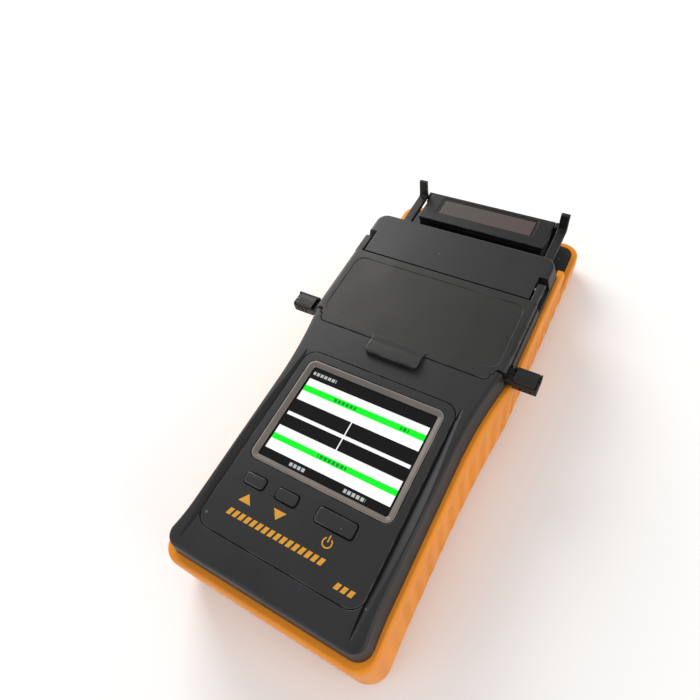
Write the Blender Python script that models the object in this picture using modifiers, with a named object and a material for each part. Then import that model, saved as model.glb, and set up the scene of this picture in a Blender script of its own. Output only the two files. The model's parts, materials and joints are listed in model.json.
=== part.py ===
"""Handheld fibre fusion splicer: shells, display, keys, wind cover, splice stage and heat-shrink oven.

Frame: +X to the user's right, +Y away from the user, +Z up, with the origin on the ground under the middle of
the case. All sizes are in metres. The case is a chain of sections along Y, and its width grows from the display.
"""

import math

import bmesh
import bpy
from mathutils import Matrix, Vector

# ---- Clearances -------------------------------------------------------------------------------------------
GAP = 0.0003            # between two fixed faces that touch
RUN = 0.0006            # around a piece that moves through an opening
FOOT_GAP = 0.0003

# ---- Display and fascia -----------------------------------------------------------------------------------
DISPLAY_WIDTH = 0.065
DISPLAY_DEPTH = 0.050
BEZEL_RING = 0.0030
PANEL_SIDE = 0.0040     # fascia left and right of the bezel
PANEL_BACK = 0.0046     # fascia behind the bezel
PANEL_FRONT = 0.0344    # fascia in front of the bezel, which holds the keys
PANEL_THICK = 0.0015
PANEL_CORNER = 0.0065
PANEL_EDGE = 0.0058     # shell beside the fascia, at the waist

# ---- Case sections along Y --------------------------------------------------------------------------------
NOSE_LENGTH = 0.0183    # front wall to fascia
BROW_LENGTH = 0.0180    # fascia to cover
COVER_LENGTH = 0.0514
HINGE_SEAM = 0.0007
DECK_LENGTH = 0.0297
PLATFORM_LENGTH = 0.0465
PANEL_LENGTH = PANEL_FRONT + DISPLAY_DEPTH + 2 * BEZEL_RING + PANEL_BACK
CASE_LENGTH = NOSE_LENGTH + PANEL_LENGTH + BROW_LENGTH + COVER_LENGTH + HINGE_SEAM + DECK_LENGTH + PLATFORM_LENGTH

FRONT_Y = -CASE_LENGTH / 2
REAR_Y = CASE_LENGTH / 2
PANEL_FRONT_Y = FRONT_Y + NOSE_LENGTH
PANEL_REAR_Y = PANEL_FRONT_Y + PANEL_LENGTH
COVER_FRONT_Y = PANEL_REAR_Y + BROW_LENGTH
COVER_REAR_Y = COVER_FRONT_Y + COVER_LENGTH
DECK_FRONT_Y = COVER_REAR_Y + HINGE_SEAM
DECK_REAR_Y = DECK_FRONT_Y + DECK_LENGTH
DISPLAY_Y = PANEL_REAR_Y - PANEL_BACK - BEZEL_RING - DISPLAY_DEPTH / 2

# ---- Half widths of the top edge --------------------------------------------------------------------------
PANEL_HALF = DISPLAY_WIDTH / 2 + BEZEL_RING + PANEL_SIDE
WAIST_HALF = PANEL_HALF + PANEL_EDGE
FRONT_FLARE = 0.0022
REAR_FLARE = 0.0056

# ---- Heights ----------------------------------------------------------------------------------------------
SHELL_BOTTOM_Z = 0.0015
FLOOR_THICK = 0.0025
SPLIT_Z = 0.0367        # top of the lower shell's rim
TOP_HEIGHT = 0.0111     # top face above the rim
TOP_Z = SPLIT_Z + TOP_HEIGHT
PLATFORM_Z = 0.0153     # top of the rear rim and of the oven tray
SHELL_WALL = 0.0030
UPPER_WALL = 0.0022
FLOOR_Z = SHELL_BOTTOM_Z + FLOOR_THICK
SEAM_Z = SPLIT_Z + GAP
CORNER_STEPS = 5

# ---- Keys: name, centre x, width, depth -------------------------------------------------------------------
KEYS = (("key_up", -0.0253, 0.0102, 0.0052), ("key_down", -0.0087, 0.0102, 0.0052), ("key_power", 0.0151, 0.0180, 0.0068))
KEY_Y = PANEL_FRONT_Y + 0.0258
KEY_TRAVEL = 0.0007
KEY_PROUD = 0.0008
KEY_FLANGE = 0.0010
KEY_PLAY = 0.0003       # round the key in its opening

# ---- Cover ------------------------------------------------------------------------------------------------
COVER_PROUD = 0.0003    # cover above the deck
COVER_SKIN = 0.0018
COVER_SKIRT = 0.0046    # skirt height below the top face
NOSE_LIP_LENGTH = 0.0071
NOSE_LIP_INSET = 0.0078  # lip's side from the skirt's side
SKIRT_WALL = 0.0030
TAB_WIDTH = 0.0276
TAB_REACH = 0.0092      # in front of the cover's edge
TAB_HEIGHT = 0.0025
EAR_RADIUS = 0.0036
EAR_THICK = 0.0036
EAR_REACH = 0.0101      # pivot behind the cover's rear edge
PIN_RADIUS = 0.0012

# ---- Splice stage -----------------------------------------------------------------------------------------
FIBRE_Y = COVER_FRONT_Y + 0.0107
FIBRE_Z = TOP_Z - 0.0059
STAGE_Z = 0.0120        # underside of the stage plate
STAGE_THICK = 0.0030
TOWER_WIDTH = 0.0078
TOWER_DEPTH = 0.0092
ARC_GAP = 0.0032        # from the arc's centre to each V-groove block
ARM_PROUD = 0.0152      # fibre arm beyond the cover's skirt
ARM_WIDTH = 0.0085
ARM_HEIGHT = 0.0035
ARM_BRIDGE = 0.0016     # shell left under an arm's slot
LID_LENGTH = 0.0102
CARRIAGE_TRAVEL = 0.0010
LENS_RADIUS = 0.0050
LENS_LENGTH = 0.0170
LENS_STANDOFF = 0.0130
ELECTRODE_RADIUS = 0.0007
SCREW_RADIUS = 0.0012
MOTOR_SIZE = 0.0140

# ---- Oven and hooks ---------------------------------------------------------------------------------------
OVEN_HALF = 0.0390
OVEN_DEPTH = 0.0236
OVEN_LID_TOP_Z = 0.0300
OVEN_LID_THICK = 0.0025
WINDOW_HALF = 0.0286
WINDOW_DEPTH = 0.0119
TROUGH_HALF = 0.0325
TROUGH_WIDTH = 0.0094
FIBRE_SLOT = 0.0016     # slot at each end of the oven, where the fibre leaves it
HOOK_WIDTH = 0.0051
HOOK_BAR = 0.0028
HOOK_TIP_Z = 0.0399

# ---- Feet, screws and inlet -------------------------------------------------------------------------------
FOOT_RADIUS = 0.0060
CASE_SCREW_RADIUS = 0.0015
CASE_SCREW_HEAD = 0.0027
CASE_SCREW_LENGTH = 0.0240
INLET_RADIUS = 0.0040
INLET_BORE = 0.0030

PART_NAME = "fiber_fusion_splicer"

FINISHES = {
    "orange_shell": ((0.76, 0.31, 0.045, 1.0), 0.5, 0.0),
    "dark_shell": ((0.035, 0.035, 0.038, 1.0), 0.45, 0.0),
    "beige_bezel": ((0.19, 0.165, 0.145, 1.0), 0.4, 0.0),
    "display": ((0.01, 0.01, 0.01, 1.0), 0.1, 0.0),
    "black_plastic": ((0.02, 0.02, 0.022, 1.0), 0.4, 0.0),
    "rubber": ((0.03, 0.03, 0.03, 1.0), 0.8, 0.0),
    "aluminium": ((0.6, 0.6, 0.62, 1.0), 0.35, 1.0),
    "steel": ((0.55, 0.55, 0.56, 1.0), 0.3, 1.0),
    "board_green": ((0.02, 0.18, 0.06, 1.0), 0.5, 0.0),
    "battery_wrap": ((0.05, 0.12, 0.35, 1.0), 0.5, 0.0),
    "ceramic": ((0.8, 0.79, 0.75, 1.0), 0.4, 0.0),
    "smoked_window": ((0.09, 0.075, 0.07, 1.0), 0.15, 0.0),
    "mirror_glass": ((0.7, 0.72, 0.74, 1.0), 0.05, 1.0),
}


# ---- Scene helpers ----------------------------------------------------------------------------------------
def clear_scene():
    """Remove every object, so the file holds the part alone."""
    for item in list(bpy.data.objects):
        bpy.data.objects.remove(item, do_unlink=True)


def make_collection(name, hidden=False):
    """Make a collection in the scene, and hide it from renders if it holds cutters."""
    collection = bpy.data.collections.new(name)
    bpy.context.scene.collection.children.link(collection)
    collection.hide_render = hidden
    return collection


def make_material(name):
    """Make the Principled material of one finish."""
    colour, roughness, metallic = FINISHES[name]
    material = bpy.data.materials.get(name) or bpy.data.materials.new(name)
    material.use_nodes = True
    shader = material.node_tree.nodes["Principled BSDF"]
    shader.inputs["Base Color"].default_value = colour
    shader.inputs["Roughness"].default_value = roughness
    shader.inputs["Metallic"].default_value = metallic
    material.diffuse_color = colour
    return material


def add_mesh(name, builder, finish, smooth=False):
    """Wrap a filled bmesh in an object of the part's collection."""
    mesh = bpy.data.meshes.new(name)
    builder.to_mesh(mesh)
    builder.free()
    item = bpy.data.objects.new(name, mesh)
    PART.objects.link(item)
    if finish:
        mesh.materials.append(make_material(finish))
    if smooth:
        mesh.shade_smooth()
        mesh.set_sharp_from_angle(angle=math.radians(35))
    return item


def as_cutter(item):
    """Move an object to the cutters, where it shapes others and isn't part of the model."""
    PART.objects.unlink(item)
    CUTTERS.objects.link(item)
    item.hide_render = True
    item.display_type = "WIRE"
    return item


def combine(target, tool, operation):
    """Cut a tool from a target, or join it to the target, with a Boolean modifier."""
    modifier = target.modifiers.new(f"{operation.lower()}_{tool.name}", "BOOLEAN")
    modifier.operation = operation
    modifier.solver = "EXACT"
    modifier.object = as_cutter(tool)
    return target


def cut(target, *tools):
    """Cut each tool from the target."""
    for tool in tools:
        combine(target, tool, "DIFFERENCE")
    return target


def join(target, *tools):
    """Join each tool to the target."""
    for tool in tools:
        combine(target, tool, "UNION")
    return target


def bevel(item, width, segments=2):
    """Round the edges of a box-like piece."""
    modifier = item.modifiers.new("rounding", "BEVEL")
    modifier.width = width
    modifier.segments = segments
    modifier.limit_method = "ANGLE"
    return item


def ride_on(items, pivot_name, pivot):
    """Parent pieces to an empty on their joint's axis, and leave them where they are."""
    empty = bpy.data.objects.new(pivot_name, None)
    PART.objects.link(empty)
    empty.location = pivot
    for item in items:
        item.parent = empty
        item.location = -Vector(pivot)


# ---- Shape helpers ----------------------------------------------------------------------------------------
def box(name, x_span, y_span, z_span, finish=None):
    """A box between two values on each axis."""
    builder = bmesh.new()
    bmesh.ops.create_cube(builder, size=1.0)
    spans = (x_span, y_span, z_span)
    middle = Vector([(low + high) / 2 for low, high in spans])
    size = Vector([high - low for low, high in spans])
    bmesh.ops.scale(builder, vec=size, verts=builder.verts)
    bmesh.ops.translate(builder, vec=middle, verts=builder.verts)
    return add_mesh(name, builder, finish)


def rod(name, start, end, radius, finish=None, end_radius=None, sides=20):
    """A round bar or a cone from one point to another."""
    start, end = Vector(start), Vector(end)
    builder = bmesh.new()
    bmesh.ops.create_cone(
        builder, cap_ends=True, segments=sides, radius1=radius,
        radius2=radius if end_radius is None else end_radius, depth=(end - start).length,
    )
    turn = Vector((0, 0, 1)).rotation_difference(end - start).to_matrix().to_4x4()
    builder.transform(Matrix.Translation((start + end) / 2) @ turn)
    return add_mesh(name, builder, finish, smooth=True)


PLANES = {
    "XY": Matrix.Identity(4),
    "YZ": Matrix(((0, 0, 1, 0), (1, 0, 0, 0), (0, 1, 0, 0), (0, 0, 0, 1))),
}


def plate(name, outlines, span, finish=None, plane="XY"):
    """A flat outline, with any holes, extruded between two values across its plane."""
    curve = bpy.data.curves.new(f"{name}_outline", "CURVE")
    curve.dimensions = "2D"
    curve.fill_mode = "BOTH"
    curve.extrude = (span[1] - span[0]) / 2
    for outline in outlines:
        spline = curve.splines.new("POLY")
        spline.points.add(len(outline) - 1)
        for point, (u, v) in zip(spline.points, outline):
            point.co = (u, v, 0.0, 1.0)
        spline.use_cyclic_u = True
    guide = bpy.data.objects.new(f"{name}_guide", curve)
    PART.objects.link(guide)
    bpy.context.view_layer.update()
    flat = bpy.data.meshes.new_from_object(guide.evaluated_get(bpy.context.evaluated_depsgraph_get()))
    builder = bmesh.new()
    builder.from_mesh(flat)
    bmesh.ops.remove_doubles(builder, verts=builder.verts, dist=1e-6)
    builder.transform(PLANES[plane] @ Matrix.Translation((0, 0, (span[0] + span[1]) / 2)))
    bpy.data.objects.remove(guide, do_unlink=True)
    bpy.data.meshes.remove(flat)
    return add_mesh(name, builder, finish)


def rectangle(x_span, y_span):
    """The four corners of a rectangle, anticlockwise."""
    (left, right), (low, high) = x_span, y_span
    return [(left, low), (right, low), (right, high), (left, high)]


def arc(centre, radius, start, end, steps):
    """Points along an arc, with both ends, in degrees."""
    angles = [math.radians(start + (end - start) * step / steps) for step in range(steps + 1)]
    return [(centre[0] + radius * math.cos(a), centre[1] + radius * math.sin(a)) for a in angles]


def rounded(x_span, y_span, radius, steps=4):
    """A rectangle with four round corners, anticlockwise."""
    (left, right), (low, high) = x_span, y_span
    corners = ((right, low, -90), (right, high, 0), (left, high, 90), (left, low, 180))
    points = []
    for x, y, start in corners:
        centre = (x - math.copysign(radius, x - (left + right) / 2), y - math.copysign(radius, y - (low + high) / 2))
        points += arc(centre, radius, start, start + 90, steps)
    return points


def loft(name, rings, finish=None):
    """A closed solid through rings of equal length, from the lowest to the highest."""
    builder = bmesh.new()
    rows = [[builder.verts.new(point) for point in ring] for ring in rings]
    for low, high in zip(rows, rows[1:]):
        for index in range(len(low)):
            after = (index + 1) % len(low)
            builder.faces.new((low[index], low[after], high[after], high[index]))
    builder.faces.new(list(reversed(rows[0])))
    builder.faces.new(rows[-1])
    bmesh.ops.recalc_face_normals(builder, faces=builder.faces)
    return add_mesh(name, builder, finish, smooth=True)


# ---- Plan shape of the case -------------------------------------------------------------------------------
FRONT_FLARE_Y = PANEL_FRONT_Y + 0.0075
FRONT_FLARE_RUN = 0.0185


def case_ring(z, outset, ends, corner, flare, inset=0.0):
    """One level of the case's waisted outline.

    outset holds what the front, waist and rear stand outside the top edge's half widths, ends the front and
    rear Y, and flare the Y where the waist starts and stops widening to the rear.
    """
    front, waist, rear = (
        base + extra - inset
        for base, extra in zip((WAIST_HALF + FRONT_FLARE, WAIST_HALF, WAIST_HALF + REAR_FLARE), outset)
    )
    low, high = ends[0] + inset, ends[1] - inset
    radius = max(corner - inset, 0.0012)

    def half(y):
        """Half the width at a place along the case."""
        nose = max(0.0, (FRONT_FLARE_Y - y) / FRONT_FLARE_RUN)
        tail = min(1.0, max(0.0, (y - flare[0]) / (flare[1] - flare[0])))
        return waist + (front - waist) * min(nose, 1.0) ** 2 + (rear - waist) * tail ** 2

    def run(start, end, steps):
        """Evenly spaced stations after start, up to and with end."""
        return [start + (end - start) * step / steps for step in range(1, steps + 1)]

    stations = run(low + radius, FRONT_FLARE_Y, 2) + run(FRONT_FLARE_Y, flare[0], 1) + run(flare[0], flare[1], 7)
    side = arc((half(low + radius) - radius, low + radius), radius, -90, 0, CORNER_STEPS)
    side += [(half(y), y) for y in stations]
    side += arc((half(high - radius) - radius, high - radius), radius, 0, 90, CORNER_STEPS)
    return [(x, y, z) for x, y in side] + [(-x, y, z) for x, y in reversed(side)]


LOW_FLARE = (COVER_FRONT_Y - 0.0715, COVER_FRONT_Y + 0.0025)
MID_FLARE = (COVER_FRONT_Y - 0.0500, COVER_FRONT_Y + 0.0080)
TOP_FLARE = (COVER_FRONT_Y - 0.0395, COVER_FRONT_Y + 0.0105)
BULGE_Z = SHELL_BOTTOM_Z + 0.0070

# Levels of the lower shell: height, outset (front, waist, rear), pull-in of the ends, corner, flare.
LOWER_LEVELS = (
    (SHELL_BOTTOM_Z, (0.0020, 0.0037, 0.0016), 0.0040, 0.0080, LOW_FLARE),
    (BULGE_Z, (0.0061, 0.0077, 0.0058), 0.0, 0.0100, LOW_FLARE),
    (SPLIT_Z - 0.0057, (0.0043, 0.0059, 0.0053), 0.0004, 0.0090, MID_FLARE),
    (SPLIT_Z - 0.0015, (0.0037, 0.0053, 0.0049), 0.0010, 0.0088, TOP_FLARE),
    (SPLIT_Z, (0.0023, 0.0039, 0.0036), 0.0024, 0.0078, TOP_FLARE),
)
# Levels of the upper shell: height, outset, front end, rear end, flare's corner.
UPPER_LEVELS = (
    (SEAM_Z, (0.0015, 0.0026, 0.0024), 0.0046, 0.0033, 0.0068),
    (TOP_Z - 0.0022, (0.0004, 0.0005, 0.0005), 0.0057, 0.0009, 0.0060),
    (TOP_Z - 0.0009, (-0.0001, 0.0, 0.0), 0.0062, 0.0004, 0.0055),
    (TOP_Z - 0.0002, (-0.0008, -0.0008, -0.0008), 0.0069, -0.0003, 0.0050),
    (TOP_Z, (-0.0018, -0.0018, -0.0018), 0.0079, -0.0013, 0.0045),
)
STEP_Y = DECK_REAR_Y + 0.0038
REAR_HALF = WAIST_HALF + REAR_FLARE
CAVITY_LEVELS = LOWER_LEVELS[1:4]


def lower_ring(level, inset=0.0):
    """A ring of the lower shell."""
    z, outset, pull, corner, flare = level
    return case_ring(z, outset, (FRONT_Y + pull, REAR_Y - pull), corner, flare, inset)


def upper_ring(level, inset=0.0, z=None):
    """A ring of the upper shell."""
    height, outset, front_pull, rear_push, corner = level
    ends = (FRONT_Y + front_pull, DECK_REAR_Y + rear_push)
    return case_ring(height if z is None else z, outset, ends, corner, TOP_FLARE, inset)


def wall_half(z, inset):
    """Half the lower shell's inner width at its rear, at a height between two levels."""
    points = [(level[0], REAR_HALF + level[1][2]) for level in LOWER_LEVELS]
    for (low_z, low), (high_z, high) in zip(points, points[1:]):
        if low_z <= z <= high_z:
            return low + (high - low) * (z - low_z) / (high_z - low_z) - inset
    return points[-1][1] - inset


# ---- Lower shell and what it holds ------------------------------------------------------------------------
BATTERY_HALF = WAIST_HALF - 0.0093
BATTERY_Y = (FRONT_Y + 0.0118, COVER_FRONT_Y - 0.0375)
BATTERY_Z = (FLOOR_Z + GAP, FLOOR_Z + 0.0240)
DOOR_HALF = BATTERY_HALF - 0.0020
DOOR_Y = (BATTERY_Y[0] + 0.0020, BATTERY_Y[1] - 0.0020)
FOOT_X = WAIST_HALF - 0.0053
FOOT_Y = (FRONT_Y + 0.0130, REAR_Y - 0.0130)
SCREW_X = WAIST_HALF - 0.0033
SCREW_Y = (FRONT_Y + 0.0290, DECK_REAR_Y - 0.0100)
INLET_Y = DECK_FRONT_Y + 0.0090
INLET_Z = (SHELL_BOTTOM_Z + SPLIT_Z) / 2 + 0.0030
CORNERS = (("front_left", -1, 0), ("front_right", 1, 0), ("rear_left", -1, 1), ("rear_right", 1, 1))


def make_lower_shell():
    """The orange tub, with a full-height rim in front and a low rim round the oven platform."""
    shell = loft("lower_shell", [lower_ring(level) for level in LOWER_LEVELS], "orange_shell")
    rings = [lower_ring(LOWER_LEVELS[1], SHELL_WALL + 0.0009)]
    rings[0] = [(x, y, FLOOR_Z) for x, y, _ in rings[0]]
    rings += [lower_ring(level, SHELL_WALL) for level in CAVITY_LEVELS]
    rings.append([(x, y, SPLIT_Z + 0.001) for x, y, _ in rings[-1]])
    cut(shell, loft("lower_cavity", rings))
    cut(shell, box("platform_step", (-0.2, 0.2), (STEP_Y, REAR_Y + 0.05), (PLATFORM_Z, SPLIT_Z + 0.05)))
    cut(shell, box("door_opening", (-DOOR_HALF - GAP, DOOR_HALF + GAP),
                   (DOOR_Y[0] - GAP, DOOR_Y[1] + GAP), (-0.01, FLOOR_Z + 0.001)))
    for name, side, end in CORNERS:
        place = (side * SCREW_X, SCREW_Y[end])
        cut(shell, rod(f"screw_hole_{name}", (*place, -0.01), (*place, FLOOR_Z + 0.001), CASE_SCREW_HEAD + GAP))
    cut(shell, rod("inlet_hole", (-0.1, INLET_Y, INLET_Z), (-0.04, INLET_Y, INLET_Z), INLET_RADIUS + GAP))
    return shell


def make_base_fittings():
    """Battery, its door, feet, case screws, charging inlet and main board."""
    box("battery_pack", (-BATTERY_HALF, BATTERY_HALF), BATTERY_Y, BATTERY_Z, "battery_wrap")
    door = box("battery_door", (-DOOR_HALF, DOOR_HALF), DOOR_Y, (SHELL_BOTTOM_Z, FLOOR_Z - GAP), "black_plastic")
    cut(door, rod("door_grip", (0, DOOR_Y[1] - 0.012, -0.01), (0, DOOR_Y[1] - 0.012, SHELL_BOTTOM_Z + 0.0008), 0.006))
    for name, side, end in CORNERS:
        x, y = side * FOOT_X, FOOT_Y[end]
        rod(f"foot_{name}", (x, y, 0), (x, y, SHELL_BOTTOM_Z - FOOT_GAP), FOOT_RADIUS, "rubber", sides=24)
        x, y = side * SCREW_X, SCREW_Y[end]
        head_z = SHELL_BOTTOM_Z + GAP
        screw = rod(f"case_screw_{name}", (x, y, head_z), (x, y, head_z + 0.0016), CASE_SCREW_HEAD, "steel")
        join(screw, rod(f"screw_shank_{name}", (x, y, head_z + 0.001), (x, y, CASE_SCREW_LENGTH), CASE_SCREW_RADIUS))
    outer = -wall_half(INLET_Z, 0.0012)
    inlet = rod("charging_inlet", (outer, INLET_Y, INLET_Z), (outer + 0.012, INLET_Y, INLET_Z), INLET_RADIUS,
                "black_plastic")
    cut(inlet, rod("inlet_bore", (outer - 0.01, INLET_Y, INLET_Z), (outer + 0.009, INLET_Y, INLET_Z), INLET_BORE))
    join(inlet, rod("inlet_pin", (outer + 0.001, INLET_Y, INLET_Z), (outer + 0.010, INLET_Y, INLET_Z), 0.0010))
    board_y = (BATTERY_Y[1] + 0.003, DECK_REAR_Y - 0.002)
    board = box("main_board", (-BATTERY_HALF, BATTERY_HALF), board_y, (FLOOR_Z + 0.0020, FLOOR_Z + 0.0036), "board_green")
    for x, y, width, height in ((-0.02, 0.35, 0.014, 0.0016), (0.018, 0.3, 0.010, 0.0014), (0.0, 0.82, 0.016, 0.0020)):
        y_middle = board_y[0] + y * (board_y[1] - board_y[0])
        chip = box(f"chip_{width * 1000:.0f}", (x - width / 2, x + width / 2),
                   (y_middle - width / 2, y_middle + width / 2), (FLOOR_Z + 0.003, FLOOR_Z + 0.0036 + height))
        join(board, chip)


# ---- Upper shell and controls -----------------------------------------------------------------------------
POCKET_Z = TOP_Z - 0.0032
RECESS_Z = TOP_Z - COVER_SKIRT
WELL_HALF = REAR_HALF - 0.0129
WELL_REAR_Y = COVER_REAR_Y - 0.0060
PANEL_Z = TOP_Z - PANEL_THICK
BEZEL_X = DISPLAY_WIDTH / 2 + BEZEL_RING
BEZEL_Y = DISPLAY_DEPTH / 2 + BEZEL_RING
PIVOT = Vector((0, COVER_REAR_Y + EAR_REACH, TOP_Z - 0.0035))
SKIRT_HALF = REAR_HALF + 0.0004
NOTCH_X = SKIRT_HALF - EAR_THICK - RUN - 0.0007
LIP_HALF = SKIRT_HALF - NOSE_LIP_INSET
ARM_REACH = SKIRT_HALF + ARM_PROUD
LIP_REAR_Y = COVER_FRONT_Y + NOSE_LIP_LENGTH
ARM_Y = (FIBRE_Y - ARM_WIDTH / 2, FIBRE_Y + ARM_WIDTH / 2)


def make_upper_shell():
    """The dark top: fascia recess, cover recess over the splice well, deck, side notches and arm slots."""
    shell = loft("upper_shell", [upper_ring(level) for level in UPPER_LEVELS], "dark_shell")
    inner = [upper_ring(UPPER_LEVELS[0], UPPER_WALL, SEAM_Z - 0.001),
             upper_ring(UPPER_LEVELS[1], UPPER_WALL, RECESS_Z - UPPER_WALL)]
    cut(shell, loft("upper_cavity", inner))
    overlap = RECESS_Z - UPPER_WALL - 0.0005
    pocket_half = WAIST_HALF - UPPER_WALL - 0.0007
    cut(shell, box("front_pocket", (-pocket_half, pocket_half),
                   (FRONT_Y + 0.0110, COVER_FRONT_Y + 0.0055), (overlap, POCKET_Z)))
    cut(shell, box("deck_pocket", (-NOTCH_X + 0.0030, NOTCH_X - 0.0030),
                   (DECK_FRONT_Y + 0.0040, DECK_REAR_Y - 0.0042), (overlap, POCKET_Z)))
    cut(shell, box("cover_recess", (-0.2, 0.2), (LIP_REAR_Y - GAP, DECK_FRONT_Y), (RECESS_Z, TOP_Z + 0.05)))
    cut(shell, box("lip_recess", (-LIP_HALF - GAP, LIP_HALF + GAP),
                   (COVER_FRONT_Y - GAP, LIP_REAR_Y + 0.001), (TOP_Z - COVER_SKIN, TOP_Z + 0.05)))
    cut(shell, box("splice_well", (-WELL_HALF, WELL_HALF),
                   (COVER_FRONT_Y + 0.0051, WELL_REAR_Y), (overlap - 0.002, RECESS_Z + 0.0002)))
    for side in (-1, 1):
        name = "left" if side < 0 else "right"
        notch = sorted((side * NOTCH_X, side * 0.2))
        cut(shell, box(f"ear_notch_{name}", notch, (DECK_FRONT_Y - 0.001, PIVOT.y + EAR_RADIUS + 0.0028),
                       (PIVOT.z - EAR_RADIUS - 0.0010, TOP_Z + 0.05)))
        slot = sorted((side * (WELL_HALF - 0.001), side * 0.2))
        cut(shell, box(f"arm_slot_{name}", slot, (ARM_Y[0] - RUN, ARM_Y[1] + RUN),
                       (SEAM_Z + ARM_BRIDGE, TOP_Z + 0.05)))
    cut(shell, rod("pin_bore", (-NOTCH_X - 0.01, *PIVOT.yz), (NOTCH_X + 0.01, *PIVOT.yz), PIN_RADIUS + GAP))
    cut(shell, plate("panel_recess", [rounded((-PANEL_HALF - GAP, PANEL_HALF + GAP),
                                              (PANEL_FRONT_Y - GAP, PANEL_REAR_Y + GAP), PANEL_CORNER + GAP)],
                     (PANEL_Z - GAP, TOP_Z + 0.002)))
    cut(shell, box("display_opening", (-DISPLAY_WIDTH / 2 - 0.0011, DISPLAY_WIDTH / 2 + 0.0011),
                   (DISPLAY_Y - DISPLAY_DEPTH / 2 - 0.0011, DISPLAY_Y + DISPLAY_DEPTH / 2 + 0.0011),
                   (overlap, TOP_Z + 0.01)))
    for key, x, width, depth in KEYS:
        cut(shell, box(f"{key}_well", (x - width / 2 - KEY_PLAY, x + width / 2 + KEY_PLAY),
                       (KEY_Y - depth / 2 - KEY_PLAY, KEY_Y + depth / 2 + KEY_PLAY), (overlap, TOP_Z + 0.01)))
    return shell


def make_fascia():
    """The control fascia with its openings, the display stack and the key board."""
    holes = [rounded((-BEZEL_X - GAP, BEZEL_X + GAP), (DISPLAY_Y - BEZEL_Y - GAP, DISPLAY_Y + BEZEL_Y + GAP),
                     0.004 + GAP)]
    for _, x, width, depth in KEYS:
        holes.append(rectangle((x - width / 2 - KEY_PLAY, x + width / 2 + KEY_PLAY),
                               (KEY_Y - depth / 2 - KEY_PLAY, KEY_Y + depth / 2 + KEY_PLAY)))
    outline = rounded((-PANEL_HALF, PANEL_HALF), (PANEL_FRONT_Y, PANEL_REAR_Y), PANEL_CORNER)
    plate("control_fascia", [outline, *holes], (PANEL_Z, TOP_Z), "dark_shell")
    frame = [rounded((-BEZEL_X, BEZEL_X), (DISPLAY_Y - BEZEL_Y, DISPLAY_Y + BEZEL_Y), 0.004),
             rectangle((-DISPLAY_WIDTH / 2, DISPLAY_WIDTH / 2),
                       (DISPLAY_Y - DISPLAY_DEPTH / 2, DISPLAY_Y + DISPLAY_DEPTH / 2))]
    plate("display_bezel", frame, (PANEL_Z, TOP_Z + 0.0001), "beige_bezel")
    half = (DISPLAY_WIDTH / 2 + 0.0006, DISPLAY_DEPTH / 2 + 0.0006)
    box("display_glass", (-half[0], half[0]), (DISPLAY_Y - half[1], DISPLAY_Y + half[1]),
        (PANEL_Z - GAP - 0.0011, PANEL_Z - GAP), "display")
    box("display_module", (-half[0], half[0]), (DISPLAY_Y - half[1], DISPLAY_Y + half[1]),
        (POCKET_Z - 0.0042, POCKET_Z), "aluminium")


def make_keys():
    """The three keys, each with a flange that keeps it under the shell, over one key board."""
    flange_top = POCKET_Z - GAP
    for key, x, width, depth in KEYS:
        cap = box(key, (x - width / 2, x + width / 2), (KEY_Y - depth / 2, KEY_Y + depth / 2),
                  (flange_top - 0.0006, TOP_Z + KEY_PROUD), "dark_shell")
        bevel(cap, 0.0005)
        join(cap, box(f"{key}_flange", (x - width / 2 - KEY_FLANGE, x + width / 2 + KEY_FLANGE),
                      (KEY_Y - depth / 2 - KEY_FLANGE, KEY_Y + depth / 2 + KEY_FLANGE),
                      (flange_top - 0.0008, flange_top)))
        ride_on([cap], f"{key}_axis", (x, KEY_Y, flange_top))
    board_top = flange_top - 0.0008 - KEY_TRAVEL - GAP
    left = KEYS[0][1] - KEYS[0][2] / 2 - 0.004
    right = KEYS[2][1] + KEYS[2][2] / 2 + 0.004
    box("key_board", (left, right), (KEY_Y - 0.0062, KEY_Y + 0.0062), (board_top - 0.0016, board_top), "board_green")


# ---- Wind cover -------------------------------------------------------------------------------------------
COVER_TOP_Z = TOP_Z + COVER_PROUD
SKIRT_Z = RECESS_Z + GAP
SKIN_Z = COVER_TOP_Z - COVER_SKIN


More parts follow.
